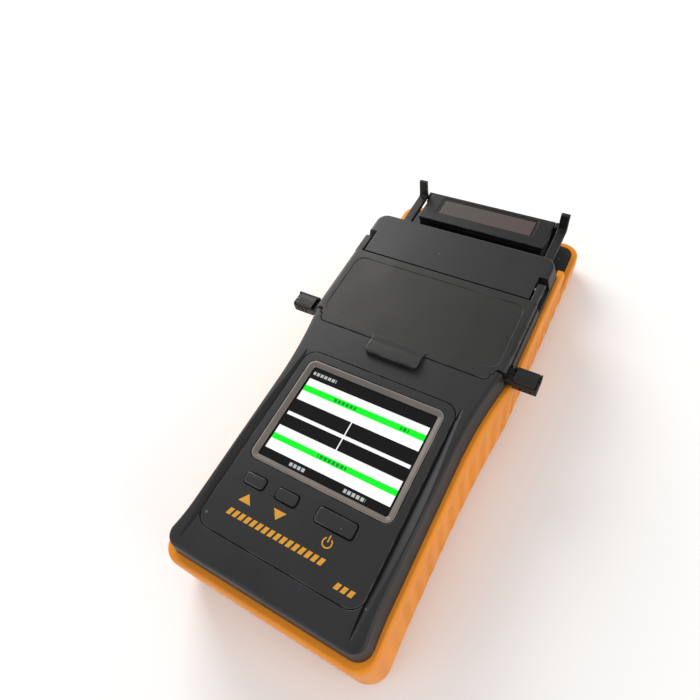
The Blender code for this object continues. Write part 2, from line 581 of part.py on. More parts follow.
def make_cover():
    """The hinged wind cover: skirted lid, front lip, lift tab and two rear ears on pivot pins."""
    rings = []
    for z, inset in ((SKIRT_Z, 0.0), (COVER_TOP_Z - 0.0022, 0.0001), (COVER_TOP_Z - 0.0009, 0.0006),
                     (COVER_TOP_Z - 0.0002, 0.0014), (COVER_TOP_Z, 0.0024)):
        half = SKIRT_HALF - inset
        rings.append([(x, y, z) for x, y in rectangle((-half, half), (LIP_REAR_Y, COVER_REAR_Y))])
    cover = loft("wind_cover", rings, "dark_shell")
    hollow = SKIRT_HALF - SKIRT_WALL
    cut(cover, box("cover_hollow", (-hollow, hollow), (LIP_REAR_Y + 0.0010, COVER_REAR_Y - 0.0020),
                   (SKIRT_Z - 0.002, SKIN_Z)))
    cut(cover, box("cover_rear_relief", (-hollow, hollow), (COVER_REAR_Y - 0.0025, COVER_REAR_Y + 0.002),
                   (SKIRT_Z - 0.002, SKIN_Z - 0.0012)))
    join(cover, box("cover_lip", (-LIP_HALF, LIP_HALF), (COVER_FRONT_Y, LIP_REAR_Y + 0.0006),
                    (TOP_Z - COVER_SKIN + GAP, COVER_TOP_Z)))
    tab = bevel(box("cover_tab", (-TAB_WIDTH / 2, TAB_WIDTH / 2), (COVER_FRONT_Y - TAB_REACH, COVER_FRONT_Y + 0.0022),
                    (TOP_Z + GAP, TOP_Z + TAB_HEIGHT + GAP)), 0.0007)
    join(cover, tab)
    outline = [(PIVOT.y - EAR_RADIUS * 1.6, SKIRT_Z + 0.0010), *arc(PIVOT.yz, EAR_RADIUS, -100, 90, 8),
               (COVER_REAR_Y - 0.0015, PIVOT.z + EAR_RADIUS), (COVER_REAR_Y - 0.0015, SKIRT_Z)]
    for side in (-1, 1):
        name = "left" if side < 0 else "right"
        outer = SKIRT_HALF - 0.0002
        span = sorted((side * (outer - EAR_THICK), side * outer))
        join(cover, plate(f"ear_{name}", [outline], span, plane="YZ"))
    cut(cover, rod("ear_bore", (-0.1, *PIVOT.yz), (0.1, *PIVOT.yz), PIN_RADIUS + GAP))
    mirror = box("cover_mirror", (-0.0030, 0.0030), (FIBRE_Y - 0.0020, FIBRE_Y + 0.0075),
                 (SKIN_Z - GAP - 0.0013, SKIN_Z - GAP), "mirror_glass")
    ride_on([cover, mirror], "cover_axis", PIVOT)
    for side in (-1, 1):
        name = "left" if side < 0 else "right"
        start = (side * (NOTCH_X - 0.0030 + GAP), *PIVOT.yz)
        rod(f"cover_pin_{name}", start, (side * (SKIRT_HALF - 0.0010), *PIVOT.yz), PIN_RADIUS, "steel")


# ---- Splice stage -----------------------------------------------------------------------------------------
PLATE_TOP_Z = STAGE_Z + STAGE_THICK
STAGE_HALF = WELL_HALF + 0.0020
TOWER_Y = (FIBRE_Y - TOWER_DEPTH / 2, FIBRE_Y + TOWER_DEPTH / 2)
GROOVE_TOP_Z = FIBRE_Z - 0.0001
GROOVE_Z = GROOVE_TOP_Z - 0.0035
BAR_TOP_Z = FIBRE_Z + 0.0017
BAR_Z = FIBRE_Z - 0.0043
CLAMP_Z = BAR_TOP_Z + GAP
CLAMP_PIVOT = Vector((0, FIBRE_Y + 0.0208, FIBRE_Z + 0.0024))
BARREL_RADIUS = 0.0016
CARRIAGE_X = (0.0125, 0.0300)
SCREW_PLACE = (FIBRE_Y + 0.0148, PLATE_TOP_Z + 0.0070)
REAR_BAR_Y = (FIBRE_Y + 0.0066, FIBRE_Y + 0.0172)
FRONT_BAR_Y = (FIBRE_Y - 0.0172, FIBRE_Y - 0.0066)


def make_stage():
    """The stage plate with two towers, and the V-groove block on each tower."""
    stage = box("stage_base", (-STAGE_HALF, STAGE_HALF), (FIBRE_Y - 0.0190, FIBRE_Y + 0.0240),
                (STAGE_Z, PLATE_TOP_Z), "aluminium")
    cut(stage, box("camera_notch", (-0.0080, 0.0080), (FIBRE_Y + 0.0140, FIBRE_Y + 0.03), (0, PLATE_TOP_Z + 0.01)))
    cut(stage, box("front_camera_notch", (-0.0080, 0.0080), (FIBRE_Y - 0.03, FIBRE_Y - 0.0140), (0, PLATE_TOP_Z + 0.01)))
    for side in (-1, 1):
        name = "left" if side < 0 else "right"
        span = sorted((side * ARC_GAP, side * (ARC_GAP + TOWER_WIDTH)))
        join(stage, box(f"tower_{name}", span, TOWER_Y, (PLATE_TOP_Z - 0.001, GROOVE_Z - GAP)))
        block = box(f"v_groove_block_{name}", span, (TOWER_Y[0] + 0.0004, TOWER_Y[1] - 0.0004),
                    (GROOVE_Z, GROOVE_TOP_Z), "ceramic")
        valley = [(FIBRE_Y, GROOVE_TOP_Z - 0.0006), (FIBRE_Y + 0.0008, GROOVE_TOP_Z + 0.0002),
                  (FIBRE_Y - 0.0008, GROOVE_TOP_Z + 0.0002)]
        cut(block, plate(f"valley_{name}", [valley], (span[0] - 0.001, span[1] + 0.001), plane="YZ"))


def make_electrodes():
    """A pointed electrode each side of the arc, in a holder bar on two posts."""
    for name, sign, bar_y in (("front", -1, FRONT_BAR_Y), ("rear", 1, REAR_BAR_Y)):
        holder = box(f"electrode_holder_{name}", (-0.0120, 0.0120), bar_y, (BAR_Z, BAR_TOP_Z), "black_plastic")
        post_y = (bar_y[0], bar_y[0] + 0.0045) if sign < 0 else (bar_y[1] - 0.0045, bar_y[1])
        for side in (-1, 1):
            span = sorted((side * 0.0082, side * 0.0120))
            join(holder, box(f"{name}_post_{side + 1}", span, post_y, (PLATE_TOP_Z + GAP, BAR_Z + 0.001)))
        outer = bar_y[0] if sign < 0 else bar_y[1]
        reach = FIBRE_Y + sign * 0.0011
        cut(holder, rod(f"{name}_bore", (0, outer + sign * 0.002, FIBRE_Z), (0, FIBRE_Y, FIBRE_Z),
                        ELECTRODE_RADIUS + GAP))
        needle = rod(f"electrode_{name}", (0, outer + sign * 0.0010, FIBRE_Z), (0, reach + sign * 0.003, FIBRE_Z),
                     ELECTRODE_RADIUS, "steel", sides=12)
        join(needle, rod(f"{name}_point", (0, reach + sign * 0.0031, FIBRE_Z), (0, reach, FIBRE_Z),
                         ELECTRODE_RADIUS, end_radius=0.0001, sides=12))


def make_microscopes():
    """Two microscopes that look up at the arc from 45 degrees below, each a lens barrel on its camera."""
    slope = math.sqrt(0.5)
    for name, sign in (("front", -1), ("rear", 1)):
        def along(distance, lean=sign):
            """A point at a distance from the arc, down the barrel's axis."""
            return (0, FIBRE_Y + lean * slope * distance, FIBRE_Z - slope * distance)
        end = LENS_STANDOFF + LENS_LENGTH
        barrel = rod(f"microscope_{name}", along(LENS_STANDOFF), along(end), LENS_RADIUS, "black_plastic", sides=24)
        join(barrel, rod(f"camera_{name}", along(end - 0.0010), along(end + 0.0038), LENS_RADIUS + 0.0010, sides=16))


def make_inner_clamps():
    """The bracket, its pin, and the two clamp arms that press the fibres into the V-grooves."""
    foot = CLAMP_PIVOT.z - BARREL_RADIUS - GAP
    bracket = box("clamp_bracket", (-0.0125, 0.0125), (CLAMP_PIVOT.y - 0.0018, CLAMP_PIVOT.y + 0.0024),
                  (BAR_Z, foot), "aluminium")
    for side in (-1, 1):
        name = "left" if side < 0 else "right"
        ear = sorted((side * 0.0113, side * 0.0125))
        join(bracket, box(f"bracket_ear_{name}", ear, (CLAMP_PIVOT.y - 0.0016, CLAMP_PIVOT.y + 0.0016),
                          (foot - 0.001, CLAMP_PIVOT.z + BARREL_RADIUS)))
        post = sorted((side * 0.0084, side * 0.0123))
        join(bracket, box(f"bracket_post_{name}", post, (CLAMP_PIVOT.y - 0.0017, CLAMP_PIVOT.y + 0.0022),
                          (PLATE_TOP_Z + GAP, BAR_Z + 0.001)))
        span = sorted((side * 0.0044, side * 0.0106))
        arm = box(f"fibre_clamp_{name}", span, (FIBRE_Y - 0.0026, CLAMP_PIVOT.y), (CLAMP_Z, CLAMP_Z + 0.0014),
                  "aluminium")
        join(arm, rod(f"clamp_barrel_{name}", (span[0], *CLAMP_PIVOT.yz), (span[1], *CLAMP_PIVOT.yz), BARREL_RADIUS,
                      sides=16))
        join(arm, box(f"clamp_pad_{name}", (span[0] + 0.0004, span[1] - 0.0004), (FIBRE_Y - 0.0020, FIBRE_Y + 0.0020),
                      (GROOVE_TOP_Z + GAP, CLAMP_Z + 0.0005)))
        cut(arm, rod(f"clamp_bore_{name}", (span[0] - 0.01, *CLAMP_PIVOT.yz), (span[1] + 0.01, *CLAMP_PIVOT.yz), 0.0009,
                     sides=16))
        ride_on([arm], f"fibre_clamp_{name}_axis", CLAMP_PIVOT)
    cut(bracket, rod("bracket_bore", (-0.02, *CLAMP_PIVOT.yz), (0.02, *CLAMP_PIVOT.yz), 0.0009, sides=16))
    rod("clamp_pin", (-0.0128, *CLAMP_PIVOT.yz), (0.0128, *CLAMP_PIVOT.yz), 0.0006, "steel", sides=12)


ARM_Z = SEAM_Z + ARM_BRIDGE + GAP
ARM_TOP_Z = ARM_Z + ARM_HEIGHT
HEAD_X = REAR_HALF + 0.0024 + CARRIAGE_TRAVEL + RUN
LID_OUTER = ARM_REACH - 0.0013
LID_INNER = LID_OUTER - LID_LENGTH
LID_PIVOT_Y = ARM_Y[1] - 0.0002
LID_PIVOT_Z = ARM_TOP_Z + 0.0012
LID_BARREL = 0.0009


def make_carriage(name, side):
    """One fibre carriage: driven block, side arm, clamp lid, lead screw and stepper motor."""
    def across(inner, outer):
        """Lowest and highest X between two distances from the middle, on this side."""
        return sorted((side * inner, side * outer))

    block = box(f"carriage_{name}", across(*CARRIAGE_X), (ARM_Y[0] + 0.0002, ARM_Y[1] - 0.0002),
                (PLATE_TOP_Z + GAP, ARM_Z - GAP), "aluminium")
    lug_y = (ARM_Y[1] - 0.001, SCREW_PLACE[0] + 0.0036)
    join(block, box(f"lug_{name}", across(CARRIAGE_X[0] + 0.0008, CARRIAGE_X[0] + 0.0058), lug_y,
                    (SCREW_PLACE[1] - 0.0036, SCREW_PLACE[1] + 0.0036)))
    cut(block, rod(f"nut_bore_{name}", (side * 0.005, *SCREW_PLACE), (side * 0.04, *SCREW_PLACE), SCREW_RADIUS + GAP))

    arm = box(f"holder_arm_{name}", across(CARRIAGE_X[0], ARM_REACH), ARM_Y, (ARM_Z, ARM_TOP_Z), "black_plastic")
    join(arm, box(f"arm_head_{name}", across(HEAD_X, ARM_REACH), ARM_Y, (SEAM_Z + GAP, ARM_Z + 0.001)))
    for place, start in (("outer", LID_OUTER + 0.0003), ("inner", LID_INNER - 0.0013)):
        lug = [(ARM_Y[1] - 0.0022, ARM_TOP_Z - 0.0006), (ARM_Y[1], ARM_TOP_Z - 0.0006),
               (ARM_Y[1], LID_PIVOT_Z), *arc((LID_PIVOT_Y - 0.0008, LID_PIVOT_Z), 0.0010, 0, 180, 6)]
        join(arm, plate(f"{place}_lug_{name}", [lug], across(start, start + 0.0010), plane="YZ"))
    join(arm, box(f"lip_{name}", across(ARM_REACH - 0.0010, ARM_REACH), (ARM_Y[0], ARM_Y[1] - 0.0020),
                  (ARM_TOP_Z - 0.001, ARM_TOP_Z + 0.0013)))
    valley = [(FIBRE_Y, ARM_TOP_Z - 0.0007), (FIBRE_Y + 0.0009, ARM_TOP_Z + 0.0030),
              (FIBRE_Y - 0.0009, ARM_TOP_Z + 0.0030)]
    cut(arm, plate(f"arm_valley_{name}", [valley], across(0.0, ARM_REACH + 0.01), plane="YZ"))
    pivot = (LID_PIVOT_Y - 0.0008, LID_PIVOT_Z)
    cut(arm, rod(f"lid_pin_bore_{name}", (side * 0.04, *pivot), (side * 0.08, *pivot), 0.0006, sides=12))

    lid = box(f"holder_lid_{name}", across(LID_INNER, LID_OUTER), (ARM_Y[0] + 0.0003, pivot[0]),
              (ARM_TOP_Z + GAP, ARM_TOP_Z + 0.0019), "black_plastic")
    join(lid, rod(f"lid_barrel_{name}", (side * LID_INNER, *pivot), (side * LID_OUTER, *pivot), LID_BARREL, sides=16))
    join(lid, rod(f"lid_trunnion_{name}", (side * (LID_INNER - 0.0010), *pivot), (side * (LID_OUTER + 0.0010), *pivot),
                  0.0004, sides=12))
    ride_on([lid], f"holder_lid_{name}_axis", (side * LID_OUTER, *pivot))

    motor_x = CARRIAGE_X[0] + 0.0100
    motor_y = (SCREW_PLACE[0] - MOTOR_SIZE / 2, SCREW_PLACE[0] + MOTOR_SIZE / 2)
    motor_z = (SCREW_PLACE[1] - MOTOR_SIZE / 2 + GAP, SCREW_PLACE[1] + MOTOR_SIZE / 2)
    motor = box(f"stepper_{name}", across(motor_x, motor_x + 0.0150), motor_y, motor_z, "steel")
    cut(motor, rod(f"motor_bore_{name}", (side * (motor_x - 0.001), *SCREW_PLACE),
                   (side * (motor_x + 0.0045), *SCREW_PLACE), SCREW_RADIUS + GAP))
    screw = rod(f"lead_screw_{name}", (side * CARRIAGE_X[0], *SCREW_PLACE), (side * (motor_x + 0.0040), *SCREW_PLACE),
                SCREW_RADIUS, "steel", sides=16)
    ride_on([screw], f"lead_screw_{name}_axis", (side * CARRIAGE_X[0], *SCREW_PLACE))


# ---- Rear platform, oven and hooks ------------------------------------------------------------------------
OVEN_Y = (REAR_Y - OVEN_DEPTH, REAR_Y)
BASE_REAR_Y = REAR_Y - 0.0032
LID_BOTTOM_Z = OVEN_LID_TOP_Z - OVEN_LID_THICK
OVEN_PIVOT = Vector((0, REAR_Y - 0.0014, OVEN_LID_TOP_Z - 0.0014))
TROUGH_Y = (OVEN_Y[0] + 0.0065, OVEN_Y[0] + 0.0065 + TROUGH_WIDTH)
TROUGH_Z = PLATFORM_Z + 0.0053
TRAY_FRONT_Y = STEP_Y + GAP
TRAY_HALF = wall_half(PLATFORM_Z, SHELL_WALL + GAP)


def make_platform():
    """The rear bulkhead under the deck and the oven tray inside the low rim."""
    rings = []
    for z in (PLATFORM_Z + 0.0003, SPLIT_Z - 0.0057, SPLIT_Z - 0.0015, SPLIT_Z):
        half = wall_half(min(z, SPLIT_Z - 0.0015), SHELL_WALL + 2 * GAP)
        rings.append([(x, y, z) for x, y in rectangle((-half, half), (STEP_Y - 0.0030, STEP_Y - 0.0006))])
    loft("rear_bulkhead", rings, "dark_shell")
    rear = REAR_Y - SHELL_WALL - 2 * GAP - 0.0004
    radius = 0.0075
    outline = [(-TRAY_HALF, TRAY_FRONT_Y), (TRAY_HALF, TRAY_FRONT_Y),
               *arc((TRAY_HALF - radius, rear - radius), radius, 0, 90, 5),
               *arc((-TRAY_HALF + radius, rear - radius), radius, 90, 180, 5)]
    plate("oven_tray", [outline], (PLATFORM_Z - 0.0020, PLATFORM_Z), "black_plastic")


def make_oven():
    """The oven body with its heater trough, and the hinged lid with its window."""
    base_z = PLATFORM_Z + GAP
    body_half = OVEN_HALF - 0.0005
    body = box("oven_base", (-body_half, body_half), (OVEN_Y[0] + 0.0003, BASE_REAR_Y), (base_z, LID_BOTTOM_Z - GAP),
               "black_plastic")
    cut(body, box("oven_trough_cut", (-TROUGH_HALF - GAP, TROUGH_HALF + GAP), (TROUGH_Y[0] - GAP, TROUGH_Y[1] + GAP),
                  (TROUGH_Z - GAP, OVEN_LID_TOP_Z)))
    middle = sum(TROUGH_Y) / 2
    cut(body, box("fibre_slot", (-0.1, 0.1), (middle - FIBRE_SLOT / 2, middle + FIBRE_SLOT / 2),
                  (LID_BOTTOM_Z - 0.0036, OVEN_LID_TOP_Z)))
    for side in (-1, 1):
        low = sorted((side * (OVEN_HALF - 0.0007), side * (OVEN_HALF + 0.0020)))
        high = sorted((side * (OVEN_HALF + 0.0003), side * (OVEN_HALF + 0.0020)))
        join(body, box(f"oven_cheek_{side + 1}", low, (BASE_REAR_Y - 0.0030, REAR_Y), (base_z, LID_BOTTOM_Z - GAP)))
        join(body, box(f"oven_lug_{side + 1}", high, (BASE_REAR_Y - 0.0020, REAR_Y),
                       (LID_BOTTOM_Z - 0.0010, OVEN_LID_TOP_Z)))
    cut(body, rod("oven_pin_bore", (-0.1, *OVEN_PIVOT.yz), (0.1, *OVEN_PIVOT.yz), 0.0009, sides=12))

    heater = box("heater_trough", (-TROUGH_HALF, TROUGH_HALF), TROUGH_Y, (TROUGH_Z, LID_BOTTOM_Z - 2 * GAP), "aluminium")
    cut(heater, box("heater_groove", (-TROUGH_HALF - 0.01, TROUGH_HALF + 0.01), (TROUGH_Y[0] + 0.0013, TROUGH_Y[1] - 0.0013),
                    (TROUGH_Z + 0.0010, OVEN_LID_TOP_Z)))

    window_y = (OVEN_Y[1] - 0.0043 - WINDOW_DEPTH, OVEN_Y[1] - 0.0043)
    lid = plate("oven_lid", [rectangle((-OVEN_HALF, OVEN_HALF), (OVEN_Y[0], REAR_Y - 0.0014)),
                             rectangle((-WINDOW_HALF - GAP, WINDOW_HALF + GAP), (window_y[0] - GAP, window_y[1] + GAP))],
                (LID_BOTTOM_Z, OVEN_LID_TOP_Z), "black_plastic")
    join(lid, rod("lid_rear_barrel", (-OVEN_HALF, *OVEN_PIVOT.yz), (OVEN_HALF, *OVEN_PIVOT.yz), 0.0014, sides=16))
    cut(lid, rod("lid_rear_bore", (-0.1, *OVEN_PIVOT.yz), (0.1, *OVEN_PIVOT.yz), 0.0009, sides=12))
    window = box("oven_window", (-WINDOW_HALF, WINDOW_HALF), window_y, (LID_BOTTOM_Z + 0.0004, OVEN_LID_TOP_Z - 0.0005),
                 "smoked_window")
    ride_on([lid, window], "oven_lid_axis", OVEN_PIVOT)
    rod("oven_hinge_pin", (-OVEN_HALF - 0.0018, *OVEN_PIVOT.yz), (OVEN_HALF + 0.0018, *OVEN_PIVOT.yz), 0.0006, "steel",
        sides=12)


def make_hooks():
    """The two cooling hooks: a post on the tray, a bar beside the oven and an upright tip behind it."""
    start = TRAY_FRONT_Y + 0.0030
    tip_y = REAR_Y - 0.0023
    bar_top = OVEN_LID_TOP_Z - 0.0007
    outline = [(start, PLATFORM_Z + GAP), (start + 0.0060, PLATFORM_Z + GAP), (start + 0.0060, bar_top - HOOK_BAR),
               (tip_y, bar_top - HOOK_BAR), (tip_y, HOOK_TIP_Z), (tip_y - 0.0024, HOOK_TIP_Z), (tip_y - 0.0028, bar_top),
               (start, bar_top)]
    inner = OVEN_HALF + 0.0024
    for name, side in (("left", -1), ("right", 1)):
        plate(f"cooling_hook_{name}", [outline], sorted((side * inner, side * (inner + HOOK_WIDTH))), "black_plastic",
              plane="YZ")


def main():
    """Build every sub-part."""
    make_lower_shell()
    make_base_fittings()
    make_upper_shell()
    make_fascia()
    make_keys()
    make_cover()
    make_stage()
    make_electrodes()
    make_microscopes()
    make_inner_clamps()
    make_carriage("left", -1)
    make_carriage("right", 1)
    make_platform()
    make_oven()
    make_hooks()
    bpy.context.view_layer.update()


clear_scene()
PART = make_collection(PART_NAME)
CUTTERS = make_collection("cutters", hidden=True)
main()
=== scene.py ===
"""Looks of a handheld fibre fusion splicer: finishes, fine surfaces, studio and camera."""

from __future__ import annotations

import json
import logging
import math
from collections.abc import Iterable, Sequence
from dataclasses import dataclass, field
from enum import Enum

import bmesh
import bpy
import numpy as np
from mathutils import Matrix, Vector

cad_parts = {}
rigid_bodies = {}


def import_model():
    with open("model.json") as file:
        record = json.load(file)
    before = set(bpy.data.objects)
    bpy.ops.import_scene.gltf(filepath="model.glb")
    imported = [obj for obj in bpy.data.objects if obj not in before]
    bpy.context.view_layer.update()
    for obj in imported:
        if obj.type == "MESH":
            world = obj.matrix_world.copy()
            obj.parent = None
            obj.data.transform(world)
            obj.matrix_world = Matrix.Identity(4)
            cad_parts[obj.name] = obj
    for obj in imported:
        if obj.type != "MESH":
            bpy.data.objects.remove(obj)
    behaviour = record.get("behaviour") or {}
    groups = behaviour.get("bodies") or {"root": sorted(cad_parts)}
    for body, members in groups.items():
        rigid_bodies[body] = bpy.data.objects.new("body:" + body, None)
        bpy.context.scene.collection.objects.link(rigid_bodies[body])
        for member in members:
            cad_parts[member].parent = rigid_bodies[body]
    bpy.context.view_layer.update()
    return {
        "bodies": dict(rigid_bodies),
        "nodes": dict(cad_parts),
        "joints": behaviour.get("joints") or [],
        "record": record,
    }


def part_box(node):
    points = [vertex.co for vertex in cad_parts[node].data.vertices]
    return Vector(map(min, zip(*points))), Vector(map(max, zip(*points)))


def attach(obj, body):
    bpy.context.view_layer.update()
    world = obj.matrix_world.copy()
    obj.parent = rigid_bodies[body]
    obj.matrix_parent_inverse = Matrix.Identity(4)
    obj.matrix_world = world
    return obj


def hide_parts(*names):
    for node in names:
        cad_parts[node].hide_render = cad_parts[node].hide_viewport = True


LOG = logging.getLogger("splicer")
Object = bpy.types.Object
Material = bpy.types.Material
Point = tuple[float, float]
Colour = tuple[float, float, float]
GAP = 0.0003  # clearance between neighbouring pieces
FAR = 0.1  # reach of a cutter beyond the part
WEAR_AND_HIGHLIGHT_WIDTH = 0.00036  # widest strip of a rim that shows wear and painted highlight
WEAR_AND_HIGHLIGHT_BEND = math.radians(9)  # least bend beside such a strip
FLAT = 0.985  # a normal's largest part, above which a face is flat


# ---- Node trees -------------------------------------------------------------------------------------------
class Wire:
    """A node's output, or a number, with arithmetic that adds Math nodes."""

    def __init__(self, tree: Tree, socket: bpy.types.NodeSocket) -> None:
        """Keep the tree and the output socket.

        Args:
            tree: The tree that new nodes go in.
            socket: The output that this wire carries.
        """
        self.tree = tree
        self.socket = socket

    def _math(self, operation: str, *values: Wire | float) -> Wire:
        """Add one Math node.

        Args:
            operation: The Math node's operation.
            values: Its inputs, in order.

        Returns:
            The node's output.
        """
        return self.tree.node("ShaderNodeMath", {"operation": operation}, dict(enumerate(values)))

    def __add__(self, other: Wire | float) -> Wire:
        """Sum."""
        return self._math("ADD", self, other)

    def __sub__(self, other: Wire | float) -> Wire:
        """Difference."""
        return self._math("SUBTRACT", self, other)

    def __rsub__(self, other: float) -> Wire:
        """Difference, from a number."""
        return self._math("SUBTRACT", other, self)

    def __mul__(self, other: Wire | float) -> Wire:
        """Product."""
        return self._math("MULTIPLY", self, other)

    def __truediv__(self, other: Wire | float) -> Wire:
        """Quotient."""
        return self._math("DIVIDE", self, other)

    def __rtruediv__(self, other: float) -> Wire:
        """Quotient, of a number."""
        return self._math("DIVIDE", other, self)

    __radd__ = __add__
    __rmul__ = __mul__

    def __abs__(self) -> Wire:
        """Distance from zero."""
        return self._math("ABSOLUTE", self)

    def floor(self) -> Wire:
        """Whole part."""
        return self._math("FLOOR", self)

    def fraction(self) -> Wire:
        """Part after the point."""
        return self._math("FRACT", self)

    def sine(self) -> Wire:
        """Sine, of radians."""
        return self._math("SINE", self)

    def power(self, exponent: float) -> Wire:
        """This wire to a power."""
        return self._math("POWER", self, exponent)

    def above(self, limit: Wire | float) -> Wire:
        """One where this is greater than the limit, and zero elsewhere."""
        return self._math("GREATER_THAN", self, limit)

    def below(self, limit: Wire | float) -> Wire:
        """One where this is less than the limit, and zero elsewhere."""
        return self._math("LESS_THAN", self, limit)

    def larger(self, other: Wire | float) -> Wire:
        """The greater of two values."""
        return self._math("MAXIMUM", self, other)

    def within(self, low: float, high: float) -> Wire:
        """One between two limits, and zero elsewhere."""
        return self.above(low) * self.below(high)

    def ramp(self, low: float, high: float, start: float = 0.0, end: float = 1.0) -> Wire:
        """Go smoothly from one value to another as this goes from low to high.

        Args:
            low: The value where the change starts.
            high: The value where it ends.
            start: The result at low and before it.
            end: The result at high and after it.

        Returns:
            The eased value.
        """
        settings = {"interpolation_type": "SMOOTHSTEP", "clamp": True}
        return self.tree.node("ShaderNodeMapRange", settings, {0: self, 1: low, 2: high, 3: start, 4: end})


class Tree:
    """A shader or geometry node tree, with one method that makes any node."""

    def __init__(self, tree: bpy.types.NodeTree) -> None:
        """Keep the tree.

        Args:
            tree: The tree to build in.
        """
        self.tree = tree

    def make(self, kind: str, settings: dict[str, object] | None = None,
             inputs: dict[str | int, object] | None = None) -> bpy.types.Node:
        """Add a node, set its settings and then fill its sockets.

        Args:
            kind: The node's type.
            settings: Its own settings, such as an operation.
            inputs: Values or wires for its sockets, by name or number.

        Returns:
            The node.
        """
        node = self.tree.nodes.new(kind)
        for key, value in (settings or {}).items():
            setattr(node, key, value)
        for key, value in (inputs or {}).items():
            if isinstance(value, Wire):
                self.tree.links.new(value.socket, node.inputs[key])
            else:
                node.inputs[key].default_value = value
        return node

    def node(self, kind: str, settings: dict[str, object] | None = None,
             inputs: dict[str | int, object] | None = None, output: str | int = 0) -> Wire:
        """Add a node and take one of its outputs.

        Args:
            kind: The node's type.
            settings: Its own settings.
            inputs: Values or wires for its sockets.
            output: The output to take.

        Returns:
            The output's wire.
        """
        return Wire(self, self.make(kind, settings, inputs).outputs[output])

    def place(self) -> Wire:
        """Object coordinates, which are metres in the part's own frame."""
        return self.node("ShaderNodeTexCoord", output="Object")

    def split(self, vector: Wire) -> tuple[Wire, Wire, Wire]:
        """Take a vector apart.

        Args:
            vector: The vector.

        Returns:
            Its X, Y and Z.
        """
        node = self.make("ShaderNodeSeparateXYZ", inputs={0: vector})
        return tuple(Wire(self, output) for output in node.outputs[:3])

    def vector(self, x: Wire | float = 0.0, y: Wire | float = 0.0, z: Wire | float = 0.0) -> Wire:
        """Put a vector together from three values."""
        return self.node("ShaderNodeCombineXYZ", inputs={0: x, 1: y, 2: z})

    def stretch(self, vector: Wire, scale: tuple[float, float, float]) -> Wire:
        """Scale a vector along each axis."""
        return self.node("ShaderNodeVectorMath", {"operation": "MULTIPLY"}, {0: vector, 1: scale})

    def noise(self, vector: Wire, scale: float, detail: float = 3.0, roughness: float = 0.55) -> Wire:
        """Cloudy noise about one half.

        Args:
            vector: The coordinates.
            scale: Features per metre.
            detail: Octaves.
            roughness: How strong the finer octaves are.

        Returns:
            The noise.
        """
        inputs = {"Vector": vector, "Scale": scale, "Detail": detail, "Roughness": roughness}
        return self.node("ShaderNodeTexNoise", inputs=inputs)

    def cells(self, vector: Wire, scale: float) -> Wire:
        """Distance in a pattern of random cells."""
        return self.node("ShaderNodeTexVoronoi", inputs={"Vector": vector, "Scale": scale}, output="Distance")

    def mix(self, factor: Wire | float, first: Wire | Colour, second: Wire | Colour) -> Wire:
        """Blend two colours.

        Args:
            factor: Share of the second colour.
            first: The colour at zero.
            second: The colour at one.

        Returns:
            The blended colour.
        """
        pair = [c if isinstance(c, Wire) else (*c, 1.0) for c in (first, second)]
        node = self.make("ShaderNodeMix", {"data_type": "RGBA"}, {0: factor, 6: pair[0], 7: pair[1]})
        return Wire(self, node.outputs[2])

    def bump(self, height: Wire, distance: float) -> Wire:
        """Turn a height from zero to one into a normal, where one stands for a distance in metres."""
        return self.node("ShaderNodeBump", inputs={"Height": height, "Distance": distance, "Strength": 1.0})


# ---- Finishes ---------------------------------------------------------------------------------------------
@dataclass(frozen=True)
class Finish:
    """What every finish has: a name, a colour, and constants of the shader."""

    name: str
    colour: Colour
    roughness: float = 0.5
    metallic: float = 0.0
    specular: float = 0.5

    def material(self) -> Material:
        """Build the material, or return the one that is there already.

        Returns:
            The material.
        """
        found = bpy.data.materials.get(self.name)
        if found and found.get("built"):
            return found
        material = bpy.data.materials.new(self.name)
        material.use_nodes = True
        material["built"] = True
        material.diffuse_color = (*self.colour, 1.0)
        tree = Tree(material.node_tree)
        shader = material.node_tree.nodes["Principled BSDF"]
        shader.inputs["Metallic"].default_value = self.metallic
        shader.inputs["Specular IOR Level"].default_value = self.specular
        for key, value in self.surface(tree).items():
            if isinstance(value, Wire):
                material.node_tree.links.new(value.socket, shader.inputs[key])
            else:
                shader.inputs[key].default_value = value
        return material

    def surface(self, tree: Tree) -> dict[str, object]:
        """Sockets of the shader, by name.

        Args:
            tree: The material's tree.

        Returns:
            Values and wires for the shader's sockets.
        """
        place = tree.place()
        cloud = tree.noise(place, 60.0)
        tint = tuple(c * 0.75 for c in self.colour)
        return {"Base Color": tree.mix(cloud, tint, self.colour), "Roughness": cloud * 0.12 + (self.roughness - 0.06)}


